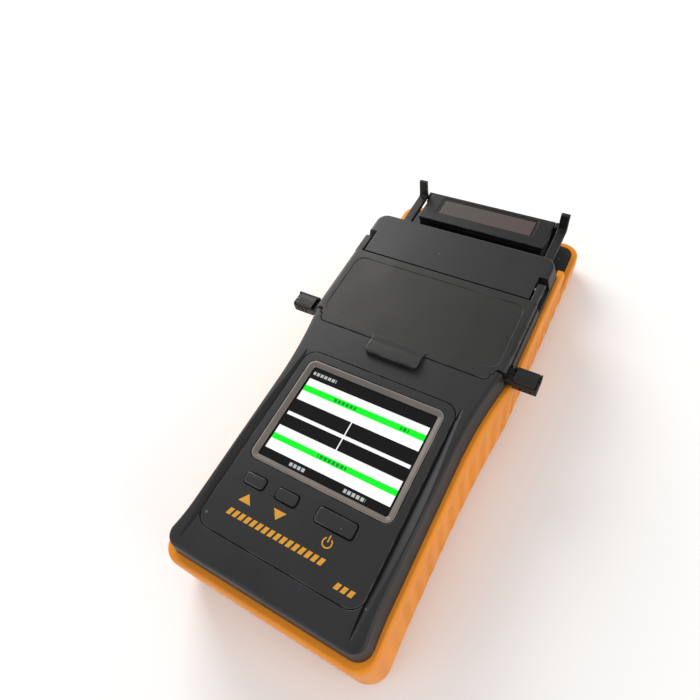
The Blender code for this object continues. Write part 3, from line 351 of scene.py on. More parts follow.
@dataclass(frozen=True)
class MouldedPlastic(Finish):
    """Injection-moulded plastic: fine spark grain, faint mottling, handling polish, dust, and worn edges that are also
    lightened as painted highlight.
    """

    grain: float = 3600.0
    grain_depth: float = 0.000016
    mottle: float = 0.16
    # lighter colour of the rounded rims: part wear, part painted highlight
    edge: Colour = (0.09, 0.09, 0.095)
    dust: float = 0.22

    def surface(self, tree: Tree) -> dict[str, object]:
        """Grain as bump, mottled colour, dust specks, and lighter, smoother edges, which are part wear and part painted
        highlight.

        Args:
            tree: The material's tree.

        Returns:
            The shader's sockets.
        """
        place = tree.place()
        cloud = tree.noise(place, 22.0, 4.0)
        fine = tree.noise(place, 700.0, 2.0)
        pits = tree.cells(place, self.grain)
        edge_patches = tree.noise(place, 130.0, 3.0)
        # rims marked "edge" are lightened towards the edge colour: part wear, part painted highlight
        wear_and_highlight = tree.node("ShaderNodeAttribute", {"attribute_name": "edge"}, output="Fac")
        wear_and_highlight = wear_and_highlight * edge_patches.ramp(0.42, 0.66)
        low = tuple(c * (1 - self.mottle) for c in self.colour)
        high = tuple(min(1.0, c * (1 + self.mottle)) for c in self.colour)
        base = tree.mix(cloud.ramp(0.3, 0.7), low, high)
        base = tree.mix(wear_and_highlight * 0.55, base, self.edge)
        speck = tree.cells(place, 95.0).below(0.055) * tree.noise(place, 35.0).above(0.55)
        base = tree.mix(speck * self.dust, base, (0.42, 0.40, 0.37))
        smear = tree.noise(tree.stretch(place, (1.0, 0.35, 1.0)), 48.0, 4.0)
        rough = smear.ramp(0.25, 0.75, self.roughness - 0.055, self.roughness + 0.065) - wear_and_highlight * 0.12
        height = pits * 0.7 + fine * 0.3
        return {"Base Color": base, "Roughness": rough, "Normal": tree.bump(height, self.grain_depth)}


@dataclass(frozen=True)
class GripShell(MouldedPlastic):
    """The coloured lower shell: moulded plastic with painted shade in its slanted grip valleys."""

    band_period: float = 0.0112
    band_lean: float = 0.12

    def surface(self, tree: Tree) -> dict[str, object]:
        """Moulded plastic with painted shade darkening the grip valleys.

        Args:
            tree: The material's tree.

        Returns:
            The shader's sockets.
        """
        sockets = super().surface(tree)
        place = tree.place()
        _, y, z = tree.split(place)
        x_face = abs(tree.split(tree.node("ShaderNodeNewGeometry", output="Normal"))[0])
        phase = (y - z * self.band_lean) / self.band_period
        band = (phase.fraction() * 2.0 - 1.0).__abs__().ramp(0.15, 0.95)
        shade_patchiness = tree.noise(place, 40.0, 5.0).ramp(0.35, 0.7)
        side = x_face.ramp(0.75, 0.95) * z.ramp(0.004, 0.009) * z.ramp(0.031, 0.034, 1.0, 0.0)
        # painted shade: the side's grip valleys are darkened in colour, in noisy patches
        valley = band * side * (shade_patchiness * 0.5 + 0.5)
        sockets["Base Color"] = tree.mix(valley * 0.30, sockets["Base Color"], tuple(c * 0.55 for c in self.colour))
        return sockets


@dataclass(frozen=True)
class BrushedMetal(Finish):
    """Machined metal with fine lines along one axis and cloudy oxide."""

    lines: tuple[float, float, float] = (12.0, 1.0, 1.0)

    def surface(self, tree: Tree) -> dict[str, object]:
        """Line noise in colour, roughness and bump.

        Args:
            tree: The material's tree.

        Returns:
            The shader's sockets.
        """
        place = tree.place()
        stroke = tree.noise(tree.stretch(place, self.lines), 900.0, 3.0, 0.6)
        cloud = tree.noise(place, 80.0, 3.0)
        dull = tuple(c * 0.72 for c in self.colour)
        base = tree.mix(cloud.ramp(0.3, 0.75), dull, self.colour)
        rough = stroke * 0.16 + cloud * 0.08 + (self.roughness - 0.12)
        return {"Base Color": base, "Roughness": rough, "Normal": tree.bump(stroke, 0.000006)}


@dataclass(frozen=True)
class Elastomer(Finish):
    """Soft rubber: deep pitted grain, chalky bloom and scuffs."""

    def surface(self, tree: Tree) -> dict[str, object]:
        """Pitted bump with a pale bloom.

        Args:
            tree: The material's tree.

        Returns:
            The shader's sockets.
        """
        place = tree.place()
        pits = tree.cells(place, 1800.0)
        bloom = tree.noise(place, 260.0, 4.0).ramp(0.45, 0.8)
        base = tree.mix(bloom * 0.5, self.colour, tuple(c * 2.6 + 0.01 for c in self.colour))
        rough = bloom * 0.1 + (self.roughness - 0.03)
        return {"Base Color": base, "Roughness": rough, "Normal": tree.bump(pits, 0.00004)}


@dataclass(frozen=True)
class CircuitBoard(Finish):
    """Solder-masked board with a grid of copper tracks and pads."""

    def surface(self, tree: Tree) -> dict[str, object]:
        """Tracks and pads in colour, gloss and bump.

        Args:
            tree: The material's tree.

        Returns:
            The shader's sockets.
        """
        place = tree.place()
        x, y, _ = tree.split(place)
        cell = tree.vector((x * 420.0).floor(), (y * 420.0).floor())
        chance = tree.node("ShaderNodeTexWhiteNoise", inputs={"Vector": cell})
        along_x = ((x * 420.0).fraction() - 0.5).__abs__().below(0.16) * chance.above(0.45)
        along_y = ((y * 420.0).fraction() - 0.5).__abs__().below(0.16) * chance.below(0.6)
        track = along_x.larger(along_y)
        pad = tree.cells(place, 330.0).below(0.16)
        base = tree.mix(track * 0.6, self.colour, tuple(min(1.0, c * 1.9 + 0.02) for c in self.colour))
        base = tree.mix(pad, base, (0.62, 0.60, 0.52))
        rough = pad * 0.1 + (self.roughness - tree.noise(place, 90.0) * 0.12)
        height = track * 0.5 + pad * 0.5
        return {"Base Color": base, "Roughness": rough, "Normal": tree.bump(height, 0.00003), "Metallic": pad * 0.8}


@dataclass(frozen=True)
class ShrinkWrap(Finish):
    """Printed film round the battery cells, with the cells showing as soft ridges."""

    cell_width: float = 0.018

    def surface(self, tree: Tree) -> dict[str, object]:
        """Cell ridges with fine wrinkles, and painted shade in the hollows between cells.

        Args:
            tree: The material's tree.

        Returns:
            The shader's sockets.
        """
        place = tree.place()
        x, _, _ = tree.split(place)
        ridge = (x * (2 * math.pi / self.cell_width)).sine() * 0.5 + 0.5
        crease = tree.noise(tree.stretch(place, (1.0, 0.2, 1.0)), 500.0, 4.0)
        # painted shade: the film is darker in the hollows between cells
        base = tree.mix(ridge * 0.5, tuple(c * 0.6 for c in self.colour), self.colour)
        rough = crease * 0.15 + 0.22
        return {"Base Color": base, "Roughness": rough, "Normal": tree.bump(ridge + crease * 0.1, 0.0004)}


@dataclass(frozen=True)
class SmokedGlass(Finish):
    """Dark tinted window with a soft cloudy sheen and hairline scratches."""

    def surface(self, tree: Tree) -> dict[str, object]:
        """Tint that drifts along the window, with faint scratches.

        Args:
            tree: The material's tree.

        Returns:
            The shader's sockets.
        """
        place = tree.place()
        x, _, _ = tree.split(place)
        drift = x.ramp(-0.028, 0.028)
        tint = tree.mix(drift, (0.078, 0.070, 0.062), (0.088, 0.060, 0.058))
        cloud = tree.noise(place, 45.0, 4.0)
        base = tree.mix(cloud.ramp(0.35, 0.75) * 0.4, tint, self.colour)
        scratch = tree.noise(tree.stretch(place, (0.15, 9.0, 1.0)), 500.0, 2.0).ramp(0.62, 0.72)
        rough = cloud * 0.12 + scratch * 0.15 + (self.roughness - 0.05)
        return {"Base Color": base, "Roughness": rough, "Normal": tree.bump(scratch, 0.000004)}


@dataclass(frozen=True)
class PrintedInk(Finish):
    """Screen-printed ink with a slightly uneven body."""

    def surface(self, tree: Tree) -> dict[str, object]:
        """Ink with pinholes and a cloudy coat.

        Args:
            tree: The material's tree.

        Returns:
            The shader's sockets.
        """
        place = tree.place()
        cloud = tree.noise(place, 900.0, 3.0)
        base = tree.mix(cloud.ramp(0.3, 0.8), tuple(c * 0.82 for c in self.colour), self.colour)
        return {"Base Color": base, "Roughness": cloud * 0.15 + (self.roughness - 0.07),
                "Normal": tree.bump(cloud, 0.00001)}


class Band(Enum):
    """What a band of the picture on the display shows."""

    WHITE = (1.0, 1.0, 1.0)
    GREEN = (0.0, 1.0, 0.02)
    BLACK = (0.0, 0.0, 0.0)
    DARK_GREEN = (0.0, 0.32, 0.02)
    GREY = (0.5, 0.52, 0.52)


@dataclass(frozen=True)
class DisplayPicture(Finish):
    """The lit picture of two fibre ends between status bands, under a glossy cover."""

    centre_y: float = -0.0491
    width: float = 0.065
    depth: float = 0.050
    glow: float = 1.0
    bands: tuple[tuple[Band, float, float], ...] = (
        (Band.WHITE, 0.125, 0.372), (Band.GREEN, 0.203, 0.268), (Band.WHITE, 0.668, 0.912),
        (Band.GREEN, 0.755, 0.812), (Band.WHITE, 0.512, 0.547),
    )
    words: tuple[tuple[Band, float, float, float], ...] = (
        (Band.GREY, 0.020, 0.215, 0.060), (Band.DARK_GREEN, 0.270, 0.455, 0.236),
        (Band.DARK_GREEN, 0.800, 0.865, 0.236), (Band.DARK_GREEN, 0.385, 0.610, 0.784),
        (Band.GREY, 0.235, 0.365, 0.957), (Band.GREY, 0.665, 0.825, 0.957),
    )

    def surface(self, tree: Tree) -> dict[str, object]:
        """Bands, the gap between the fibre ends, and plain ticks for the words.

        Args:
            tree: The material's tree.

        Returns:
            The shader's sockets.
        """
        x, y, _ = tree.split(tree.place())
        u = x / self.width + 0.5
        v = (self.centre_y + self.depth / 2 - y) / self.depth
        inside = u.within(0.016, 0.984)
        picture: Wire | Colour = Band.BLACK.value
        for band, top, bottom in self.bands:
            picture = tree.mix(v.within(top, bottom) * inside, picture, band.value)
        seam = (u - 0.479 - (v - 0.52) * 0.01).__abs__().below(0.0042) * v.within(0.37, 0.67)
        picture = tree.mix(seam, picture, Band.WHITE.value)
        tick = (x / 0.0021).fraction().below(0.72)
        for band, left, right, middle in self.words:
            area = u.within(left, right) * (v - middle).__abs__().below(0.017)
            picture = tree.mix(area * tick, picture, band.value)
        smudge = tree.noise(tree.place(), 60.0, 3.0)
        return {"Base Color": (0.004, 0.004, 0.004, 1.0), "Emission Color": picture, "Emission Strength": self.glow,
                "Roughness": smudge * 0.08 + 0.10}


DARK = MouldedPlastic("dark_case", (0.0135, 0.0138, 0.0155), 0.48, specular=0.36)
FASCIA = MouldedPlastic("dark_fascia", (0.0140, 0.0136, 0.0142), 0.50, specular=0.34, mottle=0.12)
KEYCAP = MouldedPlastic("dark_keycap", (0.0150, 0.0150, 0.0160), 0.46, specular=0.36)
COVER = MouldedPlastic("dark_cover", (0.0155, 0.0150, 0.0146), 0.50, specular=0.36)
ORANGE = GripShell("orange_case", (0.800, 0.262, 0.009), 0.44, edge=(0.90, 0.42, 0.06), dust=0.12, mottle=0.07,
                   specular=0.3)
BLACK = MouldedPlastic("black_mechanism", (0.0070, 0.0068, 0.0070), 0.47, edge=(0.040, 0.040, 0.040), specular=0.36)
BEZEL = MouldedPlastic("bezel_plastic", (0.150, 0.125, 0.110), 0.40, edge=(0.30, 0.27, 0.25), dust=0.2)
RUBBER = Elastomer("foot_rubber", (0.018, 0.018, 0.018), 0.82)
ALUMINIUM = BrushedMetal("bare_aluminium", (0.62, 0.62, 0.64), 0.36, metallic=1.0)
STEEL = BrushedMetal("turned_steel", (0.52, 0.52, 0.53), 0.30, metallic=1.0, lines=(1.0, 1.0, 14.0))
MIRROR = BrushedMetal("mirror_glass", (0.80, 0.82, 0.84), 0.14, metallic=1.0, lines=(1.0, 1.0, 1.0))
BOARD = CircuitBoard("circuit_board", (0.015, 0.14, 0.045), 0.42)
BATTERY = ShrinkWrap("battery_film", (0.03, 0.09, 0.30), 0.35)
CERAMIC = MouldedPlastic("groove_ceramic", (0.76, 0.74, 0.69), 0.32, edge=(0.9, 0.9, 0.88), dust=0.1, mottle=0.05)
WINDOW = SmokedGlass("oven_glass", (0.066, 0.052, 0.048), 0.24)
INK = PrintedInk("legend_ink", (0.72, 0.33, 0.02), 0.42)
PICTURE = DisplayPicture("display_picture", (0.02, 0.02, 0.02), specular=0.2)

SLOT_FINISHES: dict[str, Finish] = {
    "orange_shell": ORANGE, "dark_shell": DARK, "beige_bezel": BEZEL, "display": PICTURE, "black_plastic": BLACK,
    "rubber": RUBBER, "aluminium": ALUMINIUM, "steel": STEEL, "board_green": BOARD, "battery_wrap": BATTERY,
    "ceramic": CERAMIC, "smoked_window": WINDOW, "mirror_glass": MIRROR,
}


# ---- Mesh tools -------------------------------------------------------------------------------------------
class Plane(Enum):
    """The plane that an outline is drawn in."""

    XY = Matrix.Identity(4)
    YZ = Matrix(((0, 0, 1, 0), (1, 0, 0, 0), (0, 1, 0, 0), (0, 0, 0, 1)))


def wrap(name: str, builder: bmesh.types.BMesh) -> Object:
    """Turn a filled bmesh into an object of the scene.

    Args:
        name: The object's name.
        builder: The filled bmesh, which is freed.

    Returns:
        The object.
    """
    mesh = bpy.data.meshes.new(name)
    builder.to_mesh(mesh)
    builder.free()
    item = bpy.data.objects.new(name, mesh)
    bpy.context.scene.collection.objects.link(item)
    return item


def settle(item: Object) -> Object:
    """Apply an object's modifiers, so that a plain mesh is left.

    Args:
        item: The object.

    Returns:
        The same object.
    """
    bpy.context.view_layer.update()
    graph = bpy.context.evaluated_depsgraph_get()
    mesh = bpy.data.meshes.new_from_object(item.evaluated_get(graph), preserve_all_data_layers=True, depsgraph=graph)
    old = item.data
    item.modifiers.clear()
    item.data = mesh
    bpy.data.meshes.remove(old)
    return item


def loft(name: str, rings: Sequence[Sequence[Sequence[float]]], closed: bool = False) -> Object:
    """Join rings of equal length into a solid.

    Args:
        name: The object's name.
        rings: The rings, in order.
        closed: Whether the last ring joins the first, as round a frame, in place of two caps.

    Returns:
        The solid.
    """
    builder = bmesh.new()
    rows = [[builder.verts.new(point) for point in ring] for ring in rings]
    pairs = list(zip(rows, rows[1:])) + ([(rows[-1], rows[0])] if closed else [])
    for low, high in pairs:
        for index in range(len(low)):
            after = (index + 1) % len(low)
            builder.faces.new((low[index], low[after], high[after], high[index]))
    if not closed:
        builder.faces.new(list(reversed(rows[0])))
        builder.faces.new(rows[-1])
    bmesh.ops.recalc_face_normals(builder, faces=builder.faces)
    return wrap(name, builder)


def ordered(outline: Sequence[Point]) -> list[Point]:
    """An outline without repeated points, anticlockwise.

    Args:
        outline: The outline's points.

    Returns:
        The tidied outline.
    """
    points: list[Point] = []
    for point in outline:
        if not points or math.dist(points[-1], point) > 1e-6:
            points.append((float(point[0]), float(point[1])))
    if math.dist(points[0], points[-1]) < 1e-6:
        points.pop()
    area = sum(a[0] * b[1] - b[0] * a[1] for a, b in zip(points, points[1:] + points[:1]))
    return points if area > 0 else points[::-1]


def grow(outline: Sequence[Point], amount: float) -> list[Point]:
    """Move each side of an anticlockwise outline outwards.

    Args:
        outline: The outline.
        amount: How far, or inwards if it is negative.

    Returns:
        The moved outline, with as many points.
    """
    out = []
    for index, here in enumerate(outline):
        before, after = outline[index - 1], outline[(index + 1) % len(outline)]
        first = (Vector(here) - Vector(before)).normalized()
        second = (Vector(after) - Vector(here)).normalized()
        normal = Vector((first.y + second.y, -first.x - second.x)).normalized()
        lean = max(0.4, normal.dot(Vector((first.y, -first.x))))
        out.append((here[0] + normal.x * amount / lean, here[1] + normal.y * amount / lean))
    return out


def stack(name: str, outline: Sequence[Point], levels: Sequence[Point], plane: Plane = Plane.XY) -> Object:
    """Loft one outline through several heights.

    Args:
        name: The object's name.
        outline: The outline.
        levels: Pairs of a height and how far the outline is grown there.
        plane: The plane that the outline is drawn in.

    Returns:
        The solid.
    """
    base = ordered(outline)
    item = loft(name, [[(u, v, w) for u, v in grow(base, amount)] for w, amount in levels])
    item.data.transform(plane.value)
    return item


def slab(name: str, outline: Sequence[Point], span: tuple[float, float], top: float = 0.0004, bottom: float = 0.0004,
         plane: Plane = Plane.XY) -> Object:
    """A flat solid whose rims are rounded.

    Args:
        name: The object's name.
        outline: The outline.
        span: Where it starts and ends across the plane.
        top: The radius of the rim at the end.
        bottom: The radius of the rim at the start.
        plane: The plane that the outline is drawn in.

    Returns:
        The solid.
    """
    turns = [math.radians(a) for a in (0, 22.5, 45, 67.5, 90)]
    low, high = [(span[0], 0.0)], [(span[1], 0.0)]
    if bottom:
        low = [(span[0] + bottom * (1 - math.cos(t)), bottom * (math.sin(t) - 1)) for t in turns]
    if top:
        high = [(span[1] - top * (1 - math.sin(t)), top * (math.cos(t) - 1)) for t in turns]
    return stack(name, outline, [*low, *high], plane)


def mouth(name: str, outline: Sequence[Point], floor: float, face: float, lip: float = 0.0003) -> Object:
    """A cutter that leaves a rounded lip where it breaks through a face above it.

    Args:
        name: The object's name.
        outline: The opening's outline.
        floor: The height of the cut's floor.
        face: The height of the face it opens in.
        lip: The lip's radius.

    Returns:
        The cutter.
    """
    turns = [math.radians(a) for a in (0, 30, 60, 90)]
    rim = [(face - lip + lip * math.sin(t), lip * (1 - math.cos(t))) for t in turns]
    return stack(name, outline, [(floor, 0.0), *rim, (face + 0.003, lip)])


def block(name: str, x: Point, y: Point, z: Point) -> Object:
    """A box between two values on each axis.

    Args:
        name: The object's name.
        x: Its two ends along X.
        y: Its two ends along Y.
        z: Its two ends along Z.

    Returns:
        The box.
    """
    builder = bmesh.new()
    bmesh.ops.create_cube(builder, size=1.0)
    spans = [tuple(sorted(s)) for s in (x, y, z)]
    bmesh.ops.scale(builder, vec=Vector([b - a for a, b in spans]), verts=builder.verts)
    bmesh.ops.translate(builder, vec=Vector([(a + b) / 2 for a, b in spans]), verts=builder.verts)
    return wrap(name, builder)


def clearance(name: str, corners: tuple[Vector, Vector], gap: float, z: Point) -> Object:
    """A box round two corners, with a gap on each side, between two heights.

    Args:
        name: The object's name.
        corners: The lowest and highest corners.
        gap: The gap along X and Y.
        z: The two heights.

    Returns:
        The box.
    """
    low, high = corners
    return block(name, (low.x - gap, high.x + gap), (low.y - gap, high.y + gap), z)


def bar(name: str, start: Sequence[float], end: Sequence[float], radius: float, sides: int = 32) -> Object:
    """A round bar between two points.

    Args:
        name: The object's name.
        start: The middle of one end.
        end: The middle of the other.
        radius: Its radius.
        sides: How many flats it has.

    Returns:
        The bar.
    """
    a, b = Vector(start), Vector(end)
    builder = bmesh.new()
    bmesh.ops.create_cone(builder, cap_ends=True, segments=sides, radius1=radius, radius2=radius,
                          depth=(b - a).length)
    turn = Vector((0, 0, 1)).rotation_difference(b - a).to_matrix().to_4x4()
    builder.transform(Matrix.Translation((a + b) / 2) @ turn)
    return wrap(name, builder)


def combine(target: Object, tools: Iterable[Object], operation: str = "DIFFERENCE") -> Object:
    """Cut tools from a solid, or join them to it.

    Args:
        target: The solid.
        tools: The tools, which are used up.
        operation: The Boolean operation.

    Returns:
        The changed solid.
    """
    tools = list(tools)
    for tool in tools:
        modifier = target.modifiers.new(tool.name, "BOOLEAN")
        modifier.operation, modifier.solver, modifier.object = operation, "EXACT", tool
    settle(target)
    for tool in tools:
        bpy.data.objects.remove(tool, do_unlink=True)
    return target


def polish(item: Object, finish: Finish, angle: float = 35.0) -> Object:
    """Merge, triangulate the big faces, mark the rounded rims for wear and painted highlight, shade smooth and give a
    finish.

    Args:
        item: The solid.
        finish: Its finish.
        angle: The angle above which an edge stays sharp, in degrees.

    Returns:
        The dressed solid.
    """
    builder = bmesh.new()
    builder.from_mesh(item.data)
    bmesh.ops.remove_doubles(builder, verts=builder.verts, dist=1e-6)
    bmesh.ops.dissolve_degenerate(builder, dist=1e-6, edges=builder.edges)
    bmesh.ops.triangulate(builder, faces=[f for f in builder.faces if len(f.verts) > 4])
    layer = builder.loops.layers.float.get("edge") or builder.loops.layers.float.new("edge")
    for face in builder.faces:
        longest = max(e.calc_length() for e in face.edges)
        bend = max((e.calc_face_angle_signed(0.0) for e in face.edges if len(e.link_faces) == 2), default=0.0)
        narrow = longest > 0 and face.calc_area() / longest < WEAR_AND_HIGHLIGHT_WIDTH
        tilted = max(abs(part) for part in face.normal) < FLAT
        # rims marked here are lightened in the shader: part wear, part painted highlight
        rim_wear_and_highlight = 1.0 if narrow and tilted and bend > WEAR_AND_HIGHLIGHT_BEND else 0.0
        for corner in face.loops:
            corner[layer] = rim_wear_and_highlight
    builder.to_mesh(item.data)
    builder.free()
    mesh = item.data
    mesh.shade_smooth()
    mesh.set_sharp_from_angle(angle=math.radians(angle))
    weigh = item.modifiers.new("weigh", "WEIGHTED_NORMAL")
    weigh.keep_sharp, weigh.weight = True, 100
    settle(item)
    item.data.materials.clear()
    item.data.materials.append(finish.material())
    return item


def present(item: Object, body: str, finish_slot: str, *nodes: str) -> Object:
    """Hand a finished piece over: it rides on a body and stands for the nodes it replaces.

    Args:
        item: The piece.
        body: The body it moves with.
        finish_slot: The material slot that its finish belongs to; not used.
        nodes: The nodes it stands for.

    Returns:
        The piece.
    """
    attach(item, body)
    if nodes:
        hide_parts(*nodes)
    LOG.info("%s: %d faces on %s", item.name, len(item.data.polygons), body)
    return item


def arc(centre: Point, radius: float, start: float, end: float, steps: int) -> list[Point]:
    """Points along an arc, with both ends, in degrees."""
    angles = [math.radians(start + (end - start) * step / steps) for step in range(steps + 1)]
    return [(centre[0] + radius * math.cos(a), centre[1] + radius * math.sin(a)) for a in angles]


def rounded(x: Point, y: Point, radius: float, steps: int = 8) -> list[Point]:
    """A rectangle with four round corners, anticlockwise from the bottom right."""
    corners = ((x[1] - radius, y[0] + radius, -90), (x[1] - radius, y[1] - radius, 0),
               (x[0] + radius, y[1] - radius, 90), (x[0] + radius, y[0] + radius, 180))
    return [p for cx, cy, start in corners for p in arc((cx, cy), radius, start, start + 90, steps)]


def fillet(points: Sequence[Point], radii: Sequence[float], steps: int = 5) -> list[Point]:
    """Round each corner of an outline with its own radius.

    Args:
        points: The corners, in order.
        radii: One radius for each corner.
        steps: Segments in each rounding.

    Returns:
        The rounded outline.
    """
    out: list[Point] = []
    for index, corner in enumerate(points):
        before, here, after = Vector(points[index - 1]), Vector(corner), Vector(points[(index + 1) % len(points)])
        to_before, to_after = (before - here).normalized(), (after - here).normalized()
        half = to_before.angle(to_after) / 2
        if radii[index] <= 0 or half > math.pi / 2 - 0.02:
            out.append(tuple(here))
            continue
        reach = radii[index] / math.tan(half)
        first, last = here + to_before * reach, here + to_after * reach
        centre = here + (to_before + to_after).normalized() * (radii[index] / math.sin(half))
        for step in range(steps + 1):
            ray = (first.lerp(last, step / steps) - centre).normalized()
            out.append(tuple(centre + ray * radii[index]))
    return out


def mirrored(points: Sequence[Point]) -> list[Point]:
    """A right half outline from front to back, closed by its mirror image."""
    return [*points, *[(-x, y) for x, y in reversed(points)]]


def spread_span(side: int, inner: float, outer: float) -> Point:
    """Lowest and highest X between two distances from the middle, on one side."""
    return tuple(sorted((side * inner, side * outer)))


class Recipe:
    """A Geometry Nodes tree with named inputs, whose result becomes a plain mesh."""

    def __init__(self, name: str, sizes: dict[str, float]) -> None:
        """Start a tree with one named input for each size.

        Args:
            name: The tree's name.
            sizes: The inputs' names and values.
        """
        self.group = bpy.data.node_groups.new(name, "GeometryNodeTree")
        self.sizes = sizes
        self.group.interface.new_socket("Geometry", in_out="INPUT", socket_type="NodeSocketGeometry")
        for key in sizes:
            self.group.interface.new_socket(key, in_out="INPUT", socket_type="NodeSocketFloat")
        self.group.interface.new_socket("Geometry", in_out="OUTPUT", socket_type="NodeSocketGeometry")
        self.tree = Tree(self.group)
        self.entry = self.tree.make("NodeGroupInput")
        self.exit = self.tree.make("NodeGroupOutput")

    def size(self, name: str) -> Wire:
        """The wire of a named input."""
        return Wire(self.tree, self.entry.outputs[name])

    @property
    def geometry(self) -> Wire:
        """The wire of the incoming geometry."""
        return Wire(self.tree, self.entry.outputs["Geometry"])

    def row(self, count: int, start: Wire, offset: Wire, shape: Wire) -> Wire:
        """A straight row of copies of a shape.

        Args:
            count: How many there are.
            start: The place of the first.
            offset: The step from each to the next.
            shape: The shape.

        Returns:
            The copies.
        """
        line = self.tree.node("GeometryNodeMeshLine", {"mode": "OFFSET"}, {
            "Count": count, "Start Location": start, "Offset": offset})
        return self.tree.node("GeometryNodeInstanceOnPoints", inputs={"Points": line, "Instance": shape})

    def bake(self, item: Object, result: Wire, finish: Finish) -> Object:
        """End the tree, run it on an object and keep the mesh.

        Args:
            item: The object that the tree runs on.
            result: The tree's last geometry.
            finish: The finish that Set Material gives.

        Returns:
            The object, with the result as its mesh.
        """
        real = self.tree.node("GeometryNodeRealizeInstances", inputs={0: result})
        dressed = self.tree.node("GeometryNodeSetMaterial", inputs={"Geometry": real, "Material": finish.material()})
        self.group.links.new(dressed.socket, self.exit.inputs[0])
        modifier = item.modifiers.new(self.group.name, "NODES")
        modifier.node_group = self.group
        for socket in self.group.interface.items_tree:
            if socket.in_out == "INPUT" and socket.name in self.sizes:
                modifier[socket.identifier] = self.sizes[socket.name]
        return settle(item)


def blank(name: str) -> Object:
    """An empty mesh object, for a recipe that makes its own geometry."""
    item = bpy.data.objects.new(name, bpy.data.meshes.new(name))
    bpy.context.scene.collection.objects.link(item)
    return item


# ---- Plan of the case -------------------------------------------------------------------------------------
@dataclass(frozen=True)
class Level:
    """One height of a case shell: outsets from the top edge's half widths, its two ends, corner and flare."""

    z: float
    outset: tuple[float, float, float]
    front: float
    rear: float
    corner: float
    flare: Point

    def toward(self, other: Level, share: float, outset_share: float | None = None) -> Level:
        """A level between this one and another.

        Args:
            other: The other level.
            share: How far up between them.
            outset_share: How far between their outsets, if that isn't the same.

        Returns:
            The level between.
        """
        side = share if outset_share is None else outset_share
        blend = [(a + (b - a) * side) for a, b in zip((*self.outset, self.front, self.rear, self.corner),
                                                      (*other.outset, other.front, other.rear, other.corner))]
        flare = tuple(a + (b - a) * share for a, b in zip(self.flare, other.flare))
        return Level(self.z + (other.z - self.z) * share, tuple(blend[:3]), *blend[3:], flare)


@dataclass(frozen=True)
class CasePlan:
    """The waisted outline that both shells share."""

    front_y: float = -0.1298
    rear_y: float = 0.1298
    deck_rear_y: float = 0.0833
    cover_front_y: float = 0.0015
    panel_front_y: float = -0.1115
    waist: float = 0.0453
    front_flare: float = 0.0022
    rear_flare: float = 0.0056
    split_z: float = 0.0367
    top_z: float = 0.0478
    platform_z: float = 0.0153
    bottom_z: float = 0.0015
    recess_depth: float = 0.0046
    slot_rise: float = 0.0016

    @property
    def rear_half(self) -> float:
        """Half the width behind the waist, at the top edge."""
        return self.waist + self.rear_flare

    def ends(self, inset: float) -> Point:
        """The front and rear of the case, moved inwards by an inset."""
        return (self.front_y + inset, self.rear_y - inset)

    def flare(self, start: float, end: float) -> Point:
        """Where the waist starts and stops widening, measured from the cover."""
        return (self.cover_front_y + start, self.cover_front_y + end)

    def ring(self, level: Level, step: float, corner_steps: int = 10, inset: float = 0.0) -> list[tuple[float, ...]]:
        """The outline at one level.

        Args:
            level: The level.
            step: The spacing of the points along the sides.
            corner_steps: Segments in each corner.
            inset: How far inside the outline the ring lies.

        Returns:
            The ring's points.
        """
        bases = (self.waist + self.front_flare, self.waist, self.rear_half)
        front, waist, rear = (base + extra - inset for base, extra in zip(bases, level.outset))
        low, high = level.front + inset, level.rear - inset
        radius = max(level.corner - inset, 0.0012)
        nose_y, nose_run = self.panel_front_y + 0.0075, 0.0185

        def half(y: float) -> float:
            """Half the width at a place along the case.

            Args:
                y: The place.

            Returns:
                Half the width there.
            """
            nose = min(1.0, max(0.0, (nose_y - y) / nose_run))
            tail = min(1.0, max(0.0, (y - level.flare[0]) / (level.flare[1] - level.flare[0])))
            return waist + (front - waist) * nose ** 2 + (rear - waist) * tail ** 2

        start, end = low + radius, high - radius
        count = max(8, round((self.rear_y - self.front_y) / step))
        side = arc((half(start) - radius, start), radius, -90, 0, corner_steps)
        side += [(half(y), y) for y in (start + (end - start) * i / count for i in range(1, count))]
        side += arc((half(end) - radius, end), radius, 0, 90, corner_steps)
        return [(x, y, level.z) for x, y in side] + [(-x, y, level.z) for x, y in reversed(side)]


PLAN = CasePlan()
PIVOT = Vector((0.0, 0.0630, 0.0443))
CORNERS = ("front_left", "front_right", "rear_left", "rear_right")


